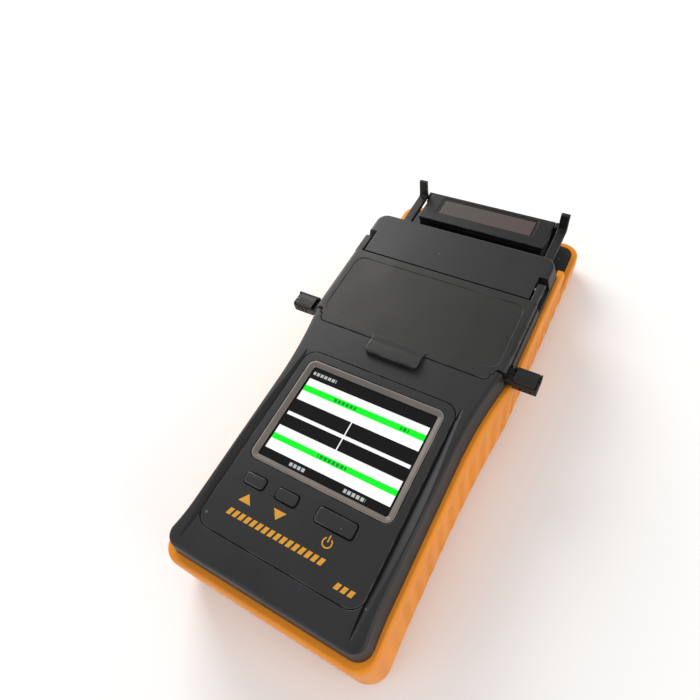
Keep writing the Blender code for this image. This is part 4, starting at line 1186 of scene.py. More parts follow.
# ---- Lower case -------------------------------------------------------------------------------------------
@dataclass
class LowerCase:
    """The orange tub with soft grip facets, a rounded rim and a low rear rim round the oven."""

    wall: float = 0.0030
    band_period: float = 0.0112
    band_lean: float = 0.12
    band_depth: float = 0.00110
    step_y: float = 0.0871
    rim_round: float = 0.0011

    def corner_levels(self) -> tuple[Level, Level, Level, Level]:
        """The four levels that the tub is drawn through.

        Returns:
            The levels, from the underside to the rim.
        """
        plan = PLAN
        low, mid, top = plan.flare(-0.0715, 0.0025), plan.flare(-0.0500, 0.0080), plan.flare(-0.0395, 0.0105)
        return (
            Level(plan.bottom_z, (0.0020, 0.0037, 0.0016), *plan.ends(0.0040), 0.0080, low),
            Level(plan.bottom_z + 0.0070, (0.0061, 0.0077, 0.0058), *plan.ends(0.0), 0.0100, low),
            Level(plan.split_z - 0.0044, (0.0042, 0.0058, 0.0052), *plan.ends(0.0005), 0.0090, mid),
            Level(plan.split_z, (0.0023, 0.0039, 0.0036), *plan.ends(0.0024), 0.0078, top),
        )

    def levels(self) -> list[Level]:
        """Close levels with eased roundings at the underside and the rim.

        Returns:
            The levels, from the bottom up.
        """
        base, bulge, shoulder, rim = self.corner_levels()
        turns = [math.pi / 2 * i / 8 for i in range(9)]
        rings = [base.toward(bulge, 1 - math.cos(t), math.sin(t)) for t in turns[:-1]]
        rings += [bulge.toward(shoulder, i / 14) for i in range(14)]
        rings += [shoulder.toward(rim, math.sin(t), 1 - math.cos(t)) for t in turns]
        return rings

    def grip(self, shell: Object) -> Object:
        """Press the soft grip facets into the sides with a Geometry Nodes tree.

        Args:
            shell: The lofted tub.

        Returns:
            The tub with its facets.
        """
        recipe = Recipe("grip_facets", {"Period": self.band_period, "Lean": self.band_lean, "Depth": self.band_depth,
                                        "Low": 0.0050, "High": PLAN.split_z - 0.0045})
        tree = recipe.tree
        normal = tree.node("GeometryNodeInputNormal")
        _, y, z = tree.split(tree.node("GeometryNodeInputPosition"))
        nx = tree.split(normal)[0]
        phase = ((y - z * recipe.size("Lean")) / recipe.size("Period")).fraction()
        groove = phase.power(1.5) * phase.ramp(0.90, 1.0, 1.0, 0.0)
        side = abs(nx).ramp(0.55, 0.9)
        band = ((z - recipe.size("Low")) / 0.004).ramp(0.0, 1.0) * ((recipe.size("High") - z) / 0.005).ramp(0.0, 1.0)
        ends = y.ramp(-0.112, -0.100) * y.ramp(0.104, 0.118, 1.0, 0.0)
        push = groove * side * band * ends * recipe.size("Depth") * -1.0
        offset = tree.node("ShaderNodeVectorMath", {"operation": "SCALE"}, {0: normal, "Scale": push})
        moved = tree.node("GeometryNodeSetPosition", inputs={"Geometry": recipe.geometry, "Offset": offset})
        return recipe.bake(shell, moved, ORANGE)

    def rim_cutter(self) -> Object:
        """A strip that rounds the low rear rim's outer edge.

        Returns:
            The cutter, which runs round the back of the case.
        """
        plan, radius = PLAN, self.rim_round
        _, bulge, shoulder, _ = self.corner_levels()
        profile = [(-(radius - radius * math.sin(t)), plan.platform_z - radius + radius * math.cos(t))
                   for t in np.linspace(0, math.pi / 2, 6)]
        over = plan.platform_z + 0.0015
        profile += [(0.0020, plan.platform_z - radius), (0.0020, over), (-radius, over)]
        rings = []
        for out, z in profile:
            share = (z - bulge.z) / (shoulder.z - bulge.z)
            rings.append(plan.ring(bulge.toward(shoulder, share), 0.0016, 12, -out))
        keep = [i for i, point in enumerate(rings[0]) if point[1] > self.step_y - 0.0002]
        sections = [[(ring[i][0], ring[i][1], z) for ring, (_, z) in zip(rings, profile)] for i in keep]
        return loft("rim_cut", sections)

    def build(self) -> Object:
        """Loft, grip, hollow and trim the tub.

        Returns:
            The finished tub.
        """
        plan, levels = PLAN, self.levels()
        shell = self.grip(loft("lower_case", [plan.ring(level, 0.0014, 12) for level in levels]))
        floor_z = plan.bottom_z + 0.0025
        _, bulge, shoulder, rim = self.corner_levels()
        inner = [plan.ring(bulge.toward(shoulder, i / 4), 0.012, 6, self.wall + 0.0003) for i in range(5)]
        rings = [[(x, y, floor_z) for x, y, _ in inner[0]], *inner,
                 [(x, y, plan.split_z + 0.001) for x, y, _ in plan.ring(rim, 0.012, 6, self.wall - 0.0006)]]
        tools = [loft("tub_hollow", rings), self.rim_cutter(),
                 block("step_cut", (-0.2, 0.2), (self.step_y, 0.2), (plan.platform_z, FAR)),
                 clearance("door_cut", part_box("battery_door"), GAP, (-0.01, floor_z + 0.001))]
        for corner in CORNERS:
            low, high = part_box(f"case_screw_{corner}")
            x, y = (low.x + high.x) / 2, (low.y + high.y) / 2
            tools.append(bar(f"screw_cut_{corner}", (x, y, -0.01), (x, y, floor_z + 0.001), 0.0030))
        low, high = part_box("charging_inlet")
        middle = (low + high) / 2
        tools.append(bar("inlet_cut", (-FAR, middle.y, middle.z), (-0.04, middle.y, middle.z), 0.0043))
        combine(shell, tools)
        return present(polish(shell, ORANGE), "case", "orange_shell", "lower_shell")


# ---- Upper case -------------------------------------------------------------------------------------------
@dataclass(frozen=True)
class CoverPlan:
    """Plan outline of the wind cover, shared by the cover and its recess."""

    front_y: float = 0.0015
    wing_y: float = 0.0057
    side_y: float = 0.0086
    rear_y: float = 0.0529
    lip_half: float = 0.0437
    wing_half: float = 0.0466
    side_half: float = 0.0513

    def outline(self, rear: float, side: float, grown: float = 0.0) -> list[Point]:
        """The stepped outline.

        Args:
            rear: Where it ends at the back.
            side: Half its width behind the steps.
            grown: How far outside the cover's front edges it lies.

        Returns:
            The outline's points.
        """
        right = [(self.lip_half - 0.0002, self.front_y), (self.lip_half + 0.0013, self.front_y + 0.0020),
                 (self.lip_half + 0.0015, self.wing_y), (self.wing_half, self.wing_y), (self.wing_half, self.side_y),
                 (side, self.side_y), (side, rear)]
        radii = [0.0012, 0.0010, 0.0007, 0.0006, 0.0007, 0.0, 0.0]
        points = grow(ordered(fillet(mirrored(right), radii + radii[::-1], 4)), grown)
        return [(max(-side, min(side, x)), min(rear, y)) for x, y in points]


@dataclass
class UpperCase:
    """The dark top: brow, deck, cover recess, arm slots, ear notches and the two valleys beside the fascia."""

    wall: float = 0.0022
    valley_depth: float = 0.0016
    valley_front: float = -0.1198
    valley_rear: float = -0.0171
    valley_inner: float = 0.0404
    valley_width: float = 0.0040

    def levels(self) -> list[Level]:
        """From the seam to the top face, with a rounded shoulder.

        Returns:
            The levels, from the bottom up.
        """
        plan = PLAN
        flare, z = plan.flare(-0.0395, 0.0105), plan.top_z
        front, rear = plan.front_y, plan.deck_rear_y
        foot = Level(plan.split_z + GAP, (0.0015, 0.0026, 0.0024), front + 0.0046, rear + 0.0033, 0.0068, flare)
        side = Level(z - 0.0021, (0.0004, 0.0005, 0.0005), front + 0.0057, rear + 0.0009, 0.0060, flare)
        top = Level(z, (-0.0016, -0.0015, -0.0015), front + 0.0077, rear - 0.0011, 0.0046, flare)
        turns = [i / 7 * math.pi / 2 for i in range(8)]
        return [foot, foot.toward(side, 0.5), *[side.toward(top, math.sin(t), 1 - math.cos(t)) for t in turns]]

    def valley(self, side: int) -> Object:
        """Cutter of the sloping valley between the fascia and the case's edge.

        Args:
            side: One on the right, minus one on the left.

        Returns:
            The cutter.
        """
        z = PLAN.top_z
        sections = []
        for share in np.linspace(0.0, 1.0, 49):
            y = self.valley_front + (self.valley_rear - self.valley_front) * share
            swell = math.sin(math.pi * share) ** 0.6
            inner = self.valley_inner - 0.0012 * min(1.0, swell * 1.6)
            bulge = 0.80 + 0.2 * math.cos(math.pi * (share - 0.42))
            outer = inner + 0.0007 + self.valley_width * swell * bulge
            deep = self.valley_depth * min(1.0, swell * 1.3) + 0.0002
            wide = outer - inner
            profile = [(inner, z + 0.002), (inner, z - deep), (inner + wide * 0.12, z - deep),
                       (outer - wide * 0.10, z - deep * 0.10), (outer, z - 0.00002), (outer + 0.00025, z + 0.0001),
                       (outer + 0.00025, z + 0.002)]
            sections.append([(side * x, y, height) for x, height in profile])
        return loft(f"valley_{side + 1}", sections)

    def cutters(self) -> list[Object]:
        """Everything that is cut from the top, in order.

        Returns:
            The cutters.
        """
        plan, z = PLAN, PLAN.top_z
        recess_z, pocket_z, seam_z = z - plan.recess_depth, z - 0.0032, plan.split_z + GAP
        levels = self.levels()
        ceiling = recess_z - self.wall
        base, roof = (plan.ring(levels[i], 0.012, 6, self.wall) for i in (0, 2))
        over = ceiling - 0.0005
        well = plan.rear_half - 0.0129
        hollow = [[(x, y, height) for x, y, _ in ring] for ring, height in ((base, seam_z - 0.001), (roof, ceiling))]
        tools = [loft("top_hollow", hollow),
                 block("front_pocket", (-0.0424, 0.0424), (plan.front_y + 0.0110, 0.0070), (over, pocket_z)),
                 block("deck_pocket", (-0.0434, 0.0434), (0.0576, 0.0791), (over, pocket_z)),
                 mouth("cover_recess", CoverPlan().outline(0.0537, 0.09, GAP), z - 0.0018 - GAP, z, 0.0002),
                 block("skirt_recess", (-0.2, 0.2), (0.0083, 0.0536), (recess_z, z - 0.0017)),
                 block("splice_well", (-well, well), (0.0066, 0.0469), (over - 0.002, recess_z + 0.0002))]
        low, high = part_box("holder_arm_right")
        for side in (-1, 1):
            notch = [(side * 0.0464, 0.0526), (side * 0.09, 0.0526), (side * 0.09, 0.0694), (side * 0.0464, 0.0694)]
            tools.append(mouth(f"ear_notch_{side + 1}", notch, PIVOT.z - 0.0046, z, 0.0002))
            tools.append(block(f"arm_slot_{side + 1}", (side * (well - 0.001), side * 0.2),
                               (low.y - 0.0006, high.y + 0.0006), (seam_z + plan.slot_rise, FAR)))
            tools.append(self.valley(side))
        tools.append(bar("pin_bore", (-0.0564, *PIVOT.yz), (0.0564, *PIVOT.yz), 0.0015))
        low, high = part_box("control_fascia")
        panel = rounded((low.x, high.x), (low.y, high.y), 0.0065, 10)
        tools.append(mouth("fascia_recess", grow(ordered(panel), GAP), low.z - GAP, z, 0.0002))
        tools.append(clearance("display_cut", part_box("display_module"), 0.0005, (over, FAR)))
        tools += [clearance(f"{key}_cut", Keys.cap_box(key), GAP, (over, FAR)) for key in KEY_NAMES]
        return tools

    def build(self) -> Object:
        """Loft and cut the top.

        Returns:
            The finished top.
        """
        shell = loft("upper_case", [PLAN.ring(level, 0.0030, 12) for level in self.levels()])
        combine(shell, self.cutters())
        return present(polish(shell, DARK), "case", "dark_shell", "upper_shell")


# ---- Fascia, keys and display -----------------------------------------------------------------------------
KEY_NAMES = ("key_up", "key_down", "key_power")


@dataclass
class Keys:
    """Three soft-cornered keys with rounded caps on wider flanges."""

    corner: float = 0.0013
    rim: float = 0.0006
    flange: float = 0.0008

    @staticmethod
    def cap_box(key: str) -> tuple[Vector, Vector]:
        """The corners of a key's cap, without its flange."""
        low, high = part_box(key)
        return low + Vector((0.0010, 0.0010, 0)), high - Vector((0.0010, 0.0010, 0))

    def build(self) -> None:
        """Stack each cap on its flange."""
        for key in KEY_NAMES:
            low, high = self.cap_box(key)
            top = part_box(key)[1].z
            outline = ordered(rounded((low.x, high.x), (low.y, high.y), self.corner, 6))
            cap = slab(f"{key}_cap", outline, (low.z + 0.0003, top), self.rim, 0.0)
            combine(cap, [clearance(f"{key}_flange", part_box(key), 0.0, (low.z, low.z + self.flange))], "UNION")
            present(polish(cap, KEYCAP), key, "dark_shell", key)


@dataclass
class Fascia:
    """The control fascia with rounded openings, and its printed legends."""

    corner: float = 0.0065
    rim: float = 0.0004
    ink: float = 0.00005
    legend_y: float = -0.0938

    def build(self) -> None:
        """Cut the plate, then print the legends."""
        low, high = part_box("control_fascia")
        plate = slab("fascia_plate", ordered(rounded((low.x, high.x), (low.y, high.y), self.corner, 12)),
                     (low.z, high.z), self.rim, 0.0)
        inner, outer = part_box("display_bezel")
        holes = [mouth("bezel_hole", grow(ordered(rounded((inner.x, outer.x), (inner.y, outer.y), 0.0040, 8)), GAP),
                       low.z - 0.001, high.z, 0.0002)]
        for key in KEY_NAMES:
            a, b = Keys.cap_box(key)
            holes.append(mouth(f"{key}_hole", grow(ordered(rounded((a.x, b.x), (a.y, b.y), 0.0013, 6)), 0.00035),
                               low.z - 0.001, high.z, 0.00035))
        combine(plate, holes)
        present(polish(plate, FASCIA), "case", "dark_shell", "control_fascia")
        self.legends(high.z + 0.000005)

    def legends(self, z: float) -> None:
        """Two triangles, the power symbol and two plain flashes of slanted bars.

        Args:
            z: The height of the fascia's face.
        """
        y, line = self.legend_y, 0.00055
        centre, radius = (0.0160, y - 0.0002), 0.0023
        shapes = {
            "legend_up": [(-0.0273, y - 0.0020), (-0.0211, y - 0.0020), (-0.0242, y + 0.0021)],
            "legend_down": [(-0.0050, y + 0.0020), (-0.0112, y + 0.0020), (-0.0081, y - 0.0021)],
            "legend_power": arc(centre, radius, 124, 416, 36) + arc(centre, radius - line, 416, 124, 36),
            "legend_tick": rounded((0.0160 - line / 2, 0.0160 + line / 2), (y, y + 0.0030), 0.0001, 2),
        }
        for name, outline in shapes.items():
            item = stack(name, outline, [(z, 0.0), (z + self.ink, 0.0)])
            item.data.materials.append(INK.material())
            present(item, "case", "orange_shell")
        self.flash("flash_long", (-0.0290, 0.0190), -0.1013, 0.0030, 16, z)
        self.flash("flash_short", (0.0262, 0.0352), -0.1062, 0.0026, 3, z)

    def flash(self, name: str, x: Point, y: float, height: float, count: int, z: float) -> None:
        """A row of slanted bars, made by a Geometry Nodes tree.

        Args:
            name: The piece's name.
            x: Where the row starts and ends.
            y: Its middle line.
            height: The bars' height.
            count: How many bars there are.
            z: The height it is printed at.
        """
        pitch = (x[1] - x[0]) / count
        recipe = Recipe(name, {"Start": x[0] + pitch / 2, "Pitch": pitch, "Middle": y, "Height": height,
                               "Width": pitch * 0.66, "Level": z, "Ink": self.ink, "Slant": 0.32})
        tree, size = recipe.tree, recipe.size
        sides = tree.vector(size("Width"), size("Height"), size("Ink"))
        bit = tree.node("GeometryNodeMeshCube", inputs={"Size": sides})
        start = tree.vector(size("Start"), size("Middle"), size("Level") + size("Ink") * 0.5)
        bars = recipe.row(count, start, tree.vector(size("Pitch")), bit)
        real = tree.node("GeometryNodeRealizeInstances", inputs={0: bars})
        py = tree.split(tree.node("GeometryNodeInputPosition"))[1]
        shear = tree.vector((py - size("Middle")) * size("Slant"))
        leaning = tree.node("GeometryNodeSetPosition", inputs={"Geometry": real, "Offset": shear})
        present(recipe.bake(blank(name), leaning, INK), "case", "orange_shell")


@dataclass
class Display:
    """Sloped bezel ring over the lit display glass."""

    corner: float = 0.0040
    width: float = 0.0030
    slope: float = 0.0010

    def build(self) -> None:
        """Loft the bezel's section round the window."""
        low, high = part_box("display_bezel")
        foot = high.z - self.slope
        section = [(0.0, low.z), (0.0, high.z - 0.0004), (0.00012, high.z - 0.00012), (0.0004, high.z),
                   (0.0010, high.z), (self.width - 0.0005, foot), (self.width - 0.0001, foot - 0.0002),
                   (self.width, foot - 0.0005), (self.width, low.z)]
        rings = []
        for inset, z in section:
            radius = max(self.corner - inset * 1.1, 0.0009)
            ring = rounded((low.x + inset, high.x - inset), (low.y + inset, high.y - inset), radius, 8)
            rings.append([(x, y, z) for x, y in ring])
        present(polish(loft("bezel_ring", rings, closed=True), BEZEL, 30.0), "case", "beige_bezel", "display_bezel")


# ---- Wind cover -------------------------------------------------------------------------------------------
@dataclass
class WindCover:
    """Hinged lid with a stepped front lip, a thumb tab, an inset field and two rear ears."""

    plan: CoverPlan = CoverPlan()
    skin: float = 0.0018
    wall: float = 0.0030
    shoulder: float = 0.0021
    ear_radius: float = 0.0036
    ear_thick: float = 0.0036
    field_depth: float = 0.00030
    tab_half: float = 0.0138
    tab_rise: float = 0.0025
    tab_reach: float = 0.0092
    tab_corner: float = 0.0026
    tab_roll: float = 0.0009

    def roof(self, top_z: float, skirt_z: float) -> Object:
        """The lid's body, with its long sides rolled over.

        Args:
            top_z: The top face's height.
            skirt_z: The skirts' lower edge.

        Returns:
            The body.
        """
        rings = []
        for t in [None, *np.linspace(0.0, math.pi / 2, 9)]:
            z = skirt_z if t is None else top_z - self.shoulder * (1 - math.sin(t))
            roll = 0.0 if t is None else self.shoulder * (1 - math.cos(t))
            pull = 0.0 if t is None else max(0.0, 0.0003 - (top_z - z))
            half = self.plan.side_half - roll
            rings.append([(x, y, z) for x, y in ((half, self.plan.side_y + pull), (half, self.plan.rear_y - pull),
                                                 (-half, self.plan.rear_y - pull), (-half, self.plan.side_y + pull))])
        return loft("cover_shell", rings)

    def tab(self, top_z: float) -> Object:
        """The thumb tab: a rounded tongue that rises out of the lip.

        Args:
            top_z: The cover's top face.

        Returns:
            The tongue.
        """
        nose, floor, corner, roll = self.plan.front_y - self.tab_reach, PLAN.top_z + GAP, self.tab_corner, self.tab_roll
        run = (0.0, 0.1, 0.3, 0.6, 1.0, 1.6, 2.6, 4.5, 6.0, 7.2, 8.2, 9.2, 9.4, 10.2, 11.2, 12.0, 12.8)
        sections = []
        for reach in (step / 1000 for step in run):
            side = max(0.0, corner - reach)
            half = self.tab_half - corner + math.sqrt(corner ** 2 - side ** 2)
            root = min(1.0, max(0.0, (reach - 0.0082) / 0.004))
            half += 0.0022 * root * root
            fall = min(1.0, max(0.0, (reach - 0.0050) / 0.0076))
            front = max(0.0, roll - reach)
            height = self.tab_rise * (1 - fall * fall * (3 - 2 * fall)) - (roll - math.sqrt(roll ** 2 - front ** 2))
            top = top_z + height - 0.00004
            sole = floor if reach < 0.0093 else top_z - 0.0010
            soft = min(roll, (top - sole) * 0.45)
            right = [(half - 0.0002, sole), (half, sole + 0.0002), *arc((half - soft, top - soft), soft, 0, 90, 5)]
            sections.append([(x, nose + reach, z) for x, z in mirrored(right)])
        return loft("cover_tab", sections)

    def build(self) -> Object:
        """Assemble the cover, and cut its hollow, field and bores.

        Returns:
            The finished cover.
        """
        plan, top_z = self.plan, PLAN.top_z + GAP
        skirt_z, skin_z = PLAN.top_z - PLAN.recess_depth + GAP, PLAN.top_z + GAP - self.skin
        hollow = plan.side_half - self.wall
        cover = self.roof(top_z, skirt_z)
        inside = (plan.side_y + 0.0007, plan.rear_y - 0.0020)
        combine(cover, [block("cover_hollow", (-hollow, hollow), inside, (0, skin_z)),
                        block("rear_relief", (-hollow, hollow), (plan.rear_y - 0.0025, FAR), (0, skin_z - 0.0012))])
        lip = slab("cover_lip", plan.outline(plan.side_y + 0.0030, hollow), (skin_z + GAP, top_z), 0.0004, 0.0)
        root = plan.rear_y - 0.0015
        ear_line = [(PIVOT.y - 0.0058, skirt_z + 0.0010), *arc(PIVOT.yz, self.ear_radius, -100, 90, 14),
                    (root, PIVOT.z + self.ear_radius), (root, skirt_z)]
        outer = plan.side_half - 0.0002
        spans = {side: spread_span(side, outer - self.ear_thick, outer) for side in (-1, 1)}
        ears = [slab(f"ear_{side + 1}", ear_line, span, 0.0004, 0.0004, Plane.YZ) for side, span in spans.items()]
        combine(cover, [lip, *ears], "UNION")
        frame = rounded((-0.0466, 0.0466), (0.0084, 0.0482), 0.0050, 10)
        combine(cover, [mouth("field_cut", frame, top_z - self.field_depth, top_z, self.field_depth * 0.95),
                        bar("ear_bore", (-FAR, *PIVOT.yz), (FAR, *PIVOT.yz), 0.0015)])
        combine(cover, [self.tab(top_z)], "UNION")
        return present(polish(cover, COVER), "cover", "dark_shell", "wind_cover")


# ---- Fibre holders ----------------------------------------------------------------------------------------
@dataclass
class FibreHolder:
    """A side arm with a fibre groove, lugs and a raised lip, and its clamp lid with grip ribs."""

    name: str
    side: int
    inner: float = 0.0125
    reach: float = 0.0665
    head: float = 0.0549
    lid_outer: float = 0.0652
    lid_inner: float = 0.0550
    barrel: float = 0.0009
    lug_radius: float = 0.00094
    lug_width: float = 0.0010
    thick: float = 0.0035
    hinge_inset: float = 0.0010
    hinge_rise: float = 0.0012
    lid_rise: float = 0.0019
    slip: float = 0.00006

    @property
    def floor(self) -> float:
        """The height of the bar's underside."""
        return PLAN.split_z + GAP + PLAN.slot_rise + GAP

    @property
    def top(self) -> float:
        """The height of the bar's top."""
        return self.floor + self.thick

    @property
    def pivot(self) -> Vector:
        """The lid's axis, as Y and Z."""
        return Vector((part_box(f"holder_arm_{self.name}")[1].y - self.hinge_inset, self.top + self.hinge_rise))

    def across(self, near: float, far: float) -> Point:
        """Lowest and highest X between two distances from the middle, on this side."""
        return spread_span(self.side, near, far)

    def build(self) -> None:
        """Build the arm and its lid."""
        self.arm()
        self.lid()

    def arm(self) -> None:
        """The arm: a bar with a thicker head, two lugs, a lip and the fibre's groove."""
        low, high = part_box(f"holder_arm_{self.name}")
        floor, top, pivot, slip = self.floor, self.top, self.pivot, self.slip
        body = rounded((low.y, high.y), (floor, top), 0.0006, 4)
        arm = slab(f"arm_{self.name}", body, self.across(self.inner, self.reach), 0.0003, 0.0003, Plane.YZ)
        head = rounded((low.y + slip, high.y - slip), (low.z, floor + 0.0017), 0.0006, 4)
        parts = [slab(f"head_{self.name}", head, self.across(self.head, self.reach - slip), 0.0003, 0.0003, Plane.YZ)]
        for start in (self.lid_outer + 0.0003, self.lid_inner - 0.0013):
            round_end = arc(pivot, self.lug_radius, 0, 180, 8)
            lug = [(round_end[-1][0], top - 0.0006), (round_end[0][0], top - 0.0006), *round_end]
            span = self.across(start + slip, start + self.lug_width - 2 * slip)
            parts.append(slab(f"lug_{start:.4f}", lug, span, 0.00015, 0.00015, Plane.YZ))
        lip = rounded((low.y + 2 * slip, high.y - 0.0022), (top - 0.001, top + 0.0013), 0.0004, 3)
        span = self.across(self.reach - self.lug_width, self.reach - 3 * slip)
        parts.append(slab(f"lip_{self.name}", lip, span, 0.0002, 0.0002, Plane.YZ))
        combine(arm, parts, "UNION")
        middle = (low.y + high.y) / 2
        groove = [(middle, top - 0.0007), (middle + 0.0009, top + 0.0030), (middle - 0.0009, top + 0.0030)]
        tools = [slab(f"groove_{self.name}", groove, self.across(0.0, 0.08), 0.0, 0.0, Plane.YZ),
                 bar(f"lid_bore_{self.name}", (self.side * 0.04, *pivot), (self.side * 0.08, *pivot), 0.0006, 12)]
        tools += [block(f"notch_{index}", self.across(0.0585 + index * 0.0022, 0.0593 + index * 0.0022),
                        (low.y - 0.001, low.y + 0.0004), (low.z + 0.0008, top - 0.0006)) for index in range(3)]
        combine(arm, tools)
        present(polish(arm, BLACK), f"carriage_{self.name}", "black_plastic", f"holder_arm_{self.name}")

    def lid(self) -> None:
        """The lid: a rounded plate on a barrel, with its trunnions and ribs."""
        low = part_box(f"holder_arm_{self.name}")[0]
        top, pivot = self.top, self.pivot
        outline = rounded(self.across(self.lid_inner, self.lid_outer), (low.y + 0.0003, pivot.x), 0.0005, 3)
        lid = slab(f"lid_{self.name}", outline, (top + GAP, top + self.lid_rise), 0.0003, 0.0002)
        rods = []
        for label, further, radius, sides in (("lid_barrel", 0.0, self.barrel, 20), ("trunnion", 0.0010, 0.0004, 12)):
            near, far = self.side * (self.lid_inner - further), self.side * (self.lid_outer + further)
            rods.append(bar(f"{label}_{self.name}", (near, *pivot), (far, *pivot), radius, sides))
        combine(lid, rods, "UNION")
        present(polish(lid, BLACK), f"holder_lid_{self.name}", "black_plastic", f"holder_lid_{self.name}")
        self.ribs(low.y + 0.0010, top + self.lid_rise)

    def ribs(self, front: float, top: float) -> None:
        """Fine grip ribs on the lid, made by a Geometry Nodes tree.

        Args:
            front: Where the ribs start.
            top: The lid's top face.
        """
        start, end = self.across(self.lid_inner + 0.0014, self.lid_outer - 0.0014)
        recipe = Recipe(f"lid_ribs_{self.name}", {"Start": start, "Pitch": (end - start) / 7, "Front": front,
                                                  "Length": 0.0034, "Top": top - 0.00002, "Rib": 0.0005})
        tree, size = recipe.tree, recipe.size
        sides = tree.vector(size("Rib"), size("Length"), size("Rib") * 0.7)
        rib = tree.node("GeometryNodeMeshCube", inputs={"Size": sides})
        place = tree.vector(size("Start"), size("Front") + size("Length") * 0.5, size("Top"))
        rows = recipe.row(8, place, tree.vector(size("Pitch")), rib)
        ribs = recipe.bake(blank(f"lid_ribs_{self.name}"), rows, BLACK)
        present(ribs, f"holder_lid_{self.name}", "black_plastic")


# ---- Oven and hooks ---------------------------------------------------------------------------------------
@dataclass
class Oven:
    """Heat-shrink oven with its framed lid, and the two cooling hooks beside it."""

    rear_y: float = 0.1298
    front_y: float = 0.1062
    lid_top: float = 0.0300
    lid_bottom: float = 0.0275
    half: float = 0.0390
    window_half: float = 0.0286
    window_y: Point = (0.1136, 0.1255)
    hinge_radius: float = 0.0014
    cheek_thick: float = 0.0020
    vent_pitch: float = 0.0045

    @property
    def pivot(self) -> Vector:
        """The lid's axis, as Y and Z."""
        return Vector((self.rear_y - self.hinge_radius, self.lid_top - self.hinge_radius))

    def build(self) -> None:
        """Build the body, the lid and the hooks."""
        self.body()
        self.lid()
        self.hooks()

    def body(self) -> None:
        """The oven's body with its trough, fibre slots, cheeks and lugs."""
        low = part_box("oven_base")[0]
        trough_low, trough_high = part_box("heater_trough")
        back = self.rear_y - 0.0032
        half = self.half - 0.0005
        roof = self.lid_bottom - GAP
        body = slab("oven_body", rounded((-half, half), (low.y, back), 0.0012, 4), (low.z, roof), 0.0004, 0.0)
        parts = []
        for side in (-1, 1):
            parts.append(block(f"cheek_{side + 1}", spread_span(side, self.half - 0.0007, self.half + self.cheek_thick),
                               (back - 0.0030, self.rear_y), (low.z, roof)))
            front = back - 0.0020
            lug = [(front, roof - 0.0010), (self.rear_y, roof - 0.0010), *arc(self.pivot, self.hinge_radius, 0, 90, 6),
                   (front, self.lid_top)]
            span = spread_span(side, self.half + GAP, self.half + self.cheek_thick)
            parts.append(slab(f"lug_{side + 1}", lug, span, 0.0003, 0.0003, Plane.YZ))
        combine(body, parts, "UNION")
        middle = (trough_low.y + trough_high.y) / 2
        vents = []
        for index in range(14):
            start = 0.008 - half + index * self.vent_pitch
            vents.append(block(f"vent_{index}", (start, start + 0.0018), (low.y - 0.001, low.y + 0.0006),
                               (low.z + 0.0020, roof - 0.0024)))
        combine(body, [clearance("trough_cut", (trough_low, trough_high), GAP, (trough_low.z - GAP, FAR)),
                       block("fibre_cut", (-FAR, FAR), (middle - 0.0008, middle + 0.0008),
                             (self.lid_bottom - 0.0036, FAR)),
                       bar("pin_cut", (-FAR, *self.pivot), (FAR, *self.pivot), 0.0009, 12), *vents])
        present(polish(body, BLACK), "case", "black_plastic", "oven_base")

    def lid(self) -> None:
        """The lid: a rounded frame with a recessed window seat and a rear barrel."""
        outline = rounded((-self.half, self.half), (self.front_y, self.rear_y - 0.0016), 0.0014, 5)
        lid = slab("oven_cover", outline, (self.lid_bottom, self.lid_top), 0.0007, 0.0002)
        barrel = bar("barrel", (-self.half, *self.pivot), (self.half, *self.pivot), 0.00139, 20)
        combine(lid, [barrel], "UNION")
        window = ordered(rounded((-self.window_half, self.window_half), self.window_y, 0.0005, 3))
        combine(lid, [mouth("window_hole", grow(window, GAP), self.lid_bottom - 0.001, self.lid_top, 0.0005),
                      mouth("window_frame", grow(window, 0.0016), self.lid_top - 0.00035, self.lid_top, 0.0003),
                      block("thumb_cut", (-0.0075, 0.0075), (self.front_y - 0.001, self.front_y + 0.0006),
                            (self.lid_bottom - 0.001, self.lid_bottom + 0.0012)),
                      bar("barrel_bore", (-FAR, *self.pivot), (FAR, *self.pivot), 0.0009, 16)])
        present(polish(lid, BLACK), "oven_lid", "black_plastic", "oven_lid")

    def hooks(self) -> None:
        """The two cooling hooks: a post, a bar and an upright tip."""
        for name, side in (("left", -1), ("right", 1)):
            low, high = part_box(f"cooling_hook_{name}")
            bar_top = self.lid_top - 0.0007
            corners = [(low.y, low.z), (low.y + 0.0060, low.z), (low.y + 0.0060, bar_top - 0.0028),
                       (high.y, bar_top - 0.0028), (high.y, high.z), (high.y - 0.0024, high.z),
                       (high.y - 0.0028, bar_top), (low.y, bar_top)]
            outline = fillet(corners, [0.0, 0.0, 0.0022, 0.0012, 0.0008, 0.0008, 0.0014, 0.0012], 5)
            near, far = sorted((abs(low.x), abs(high.x)))
            hook = slab(f"hook_{name}", outline, spread_span(side, near, far), 0.0005, 0.0005, Plane.YZ)
            present(polish(hook, BLACK), "case", "black_plastic", f"cooling_hook_{name}")


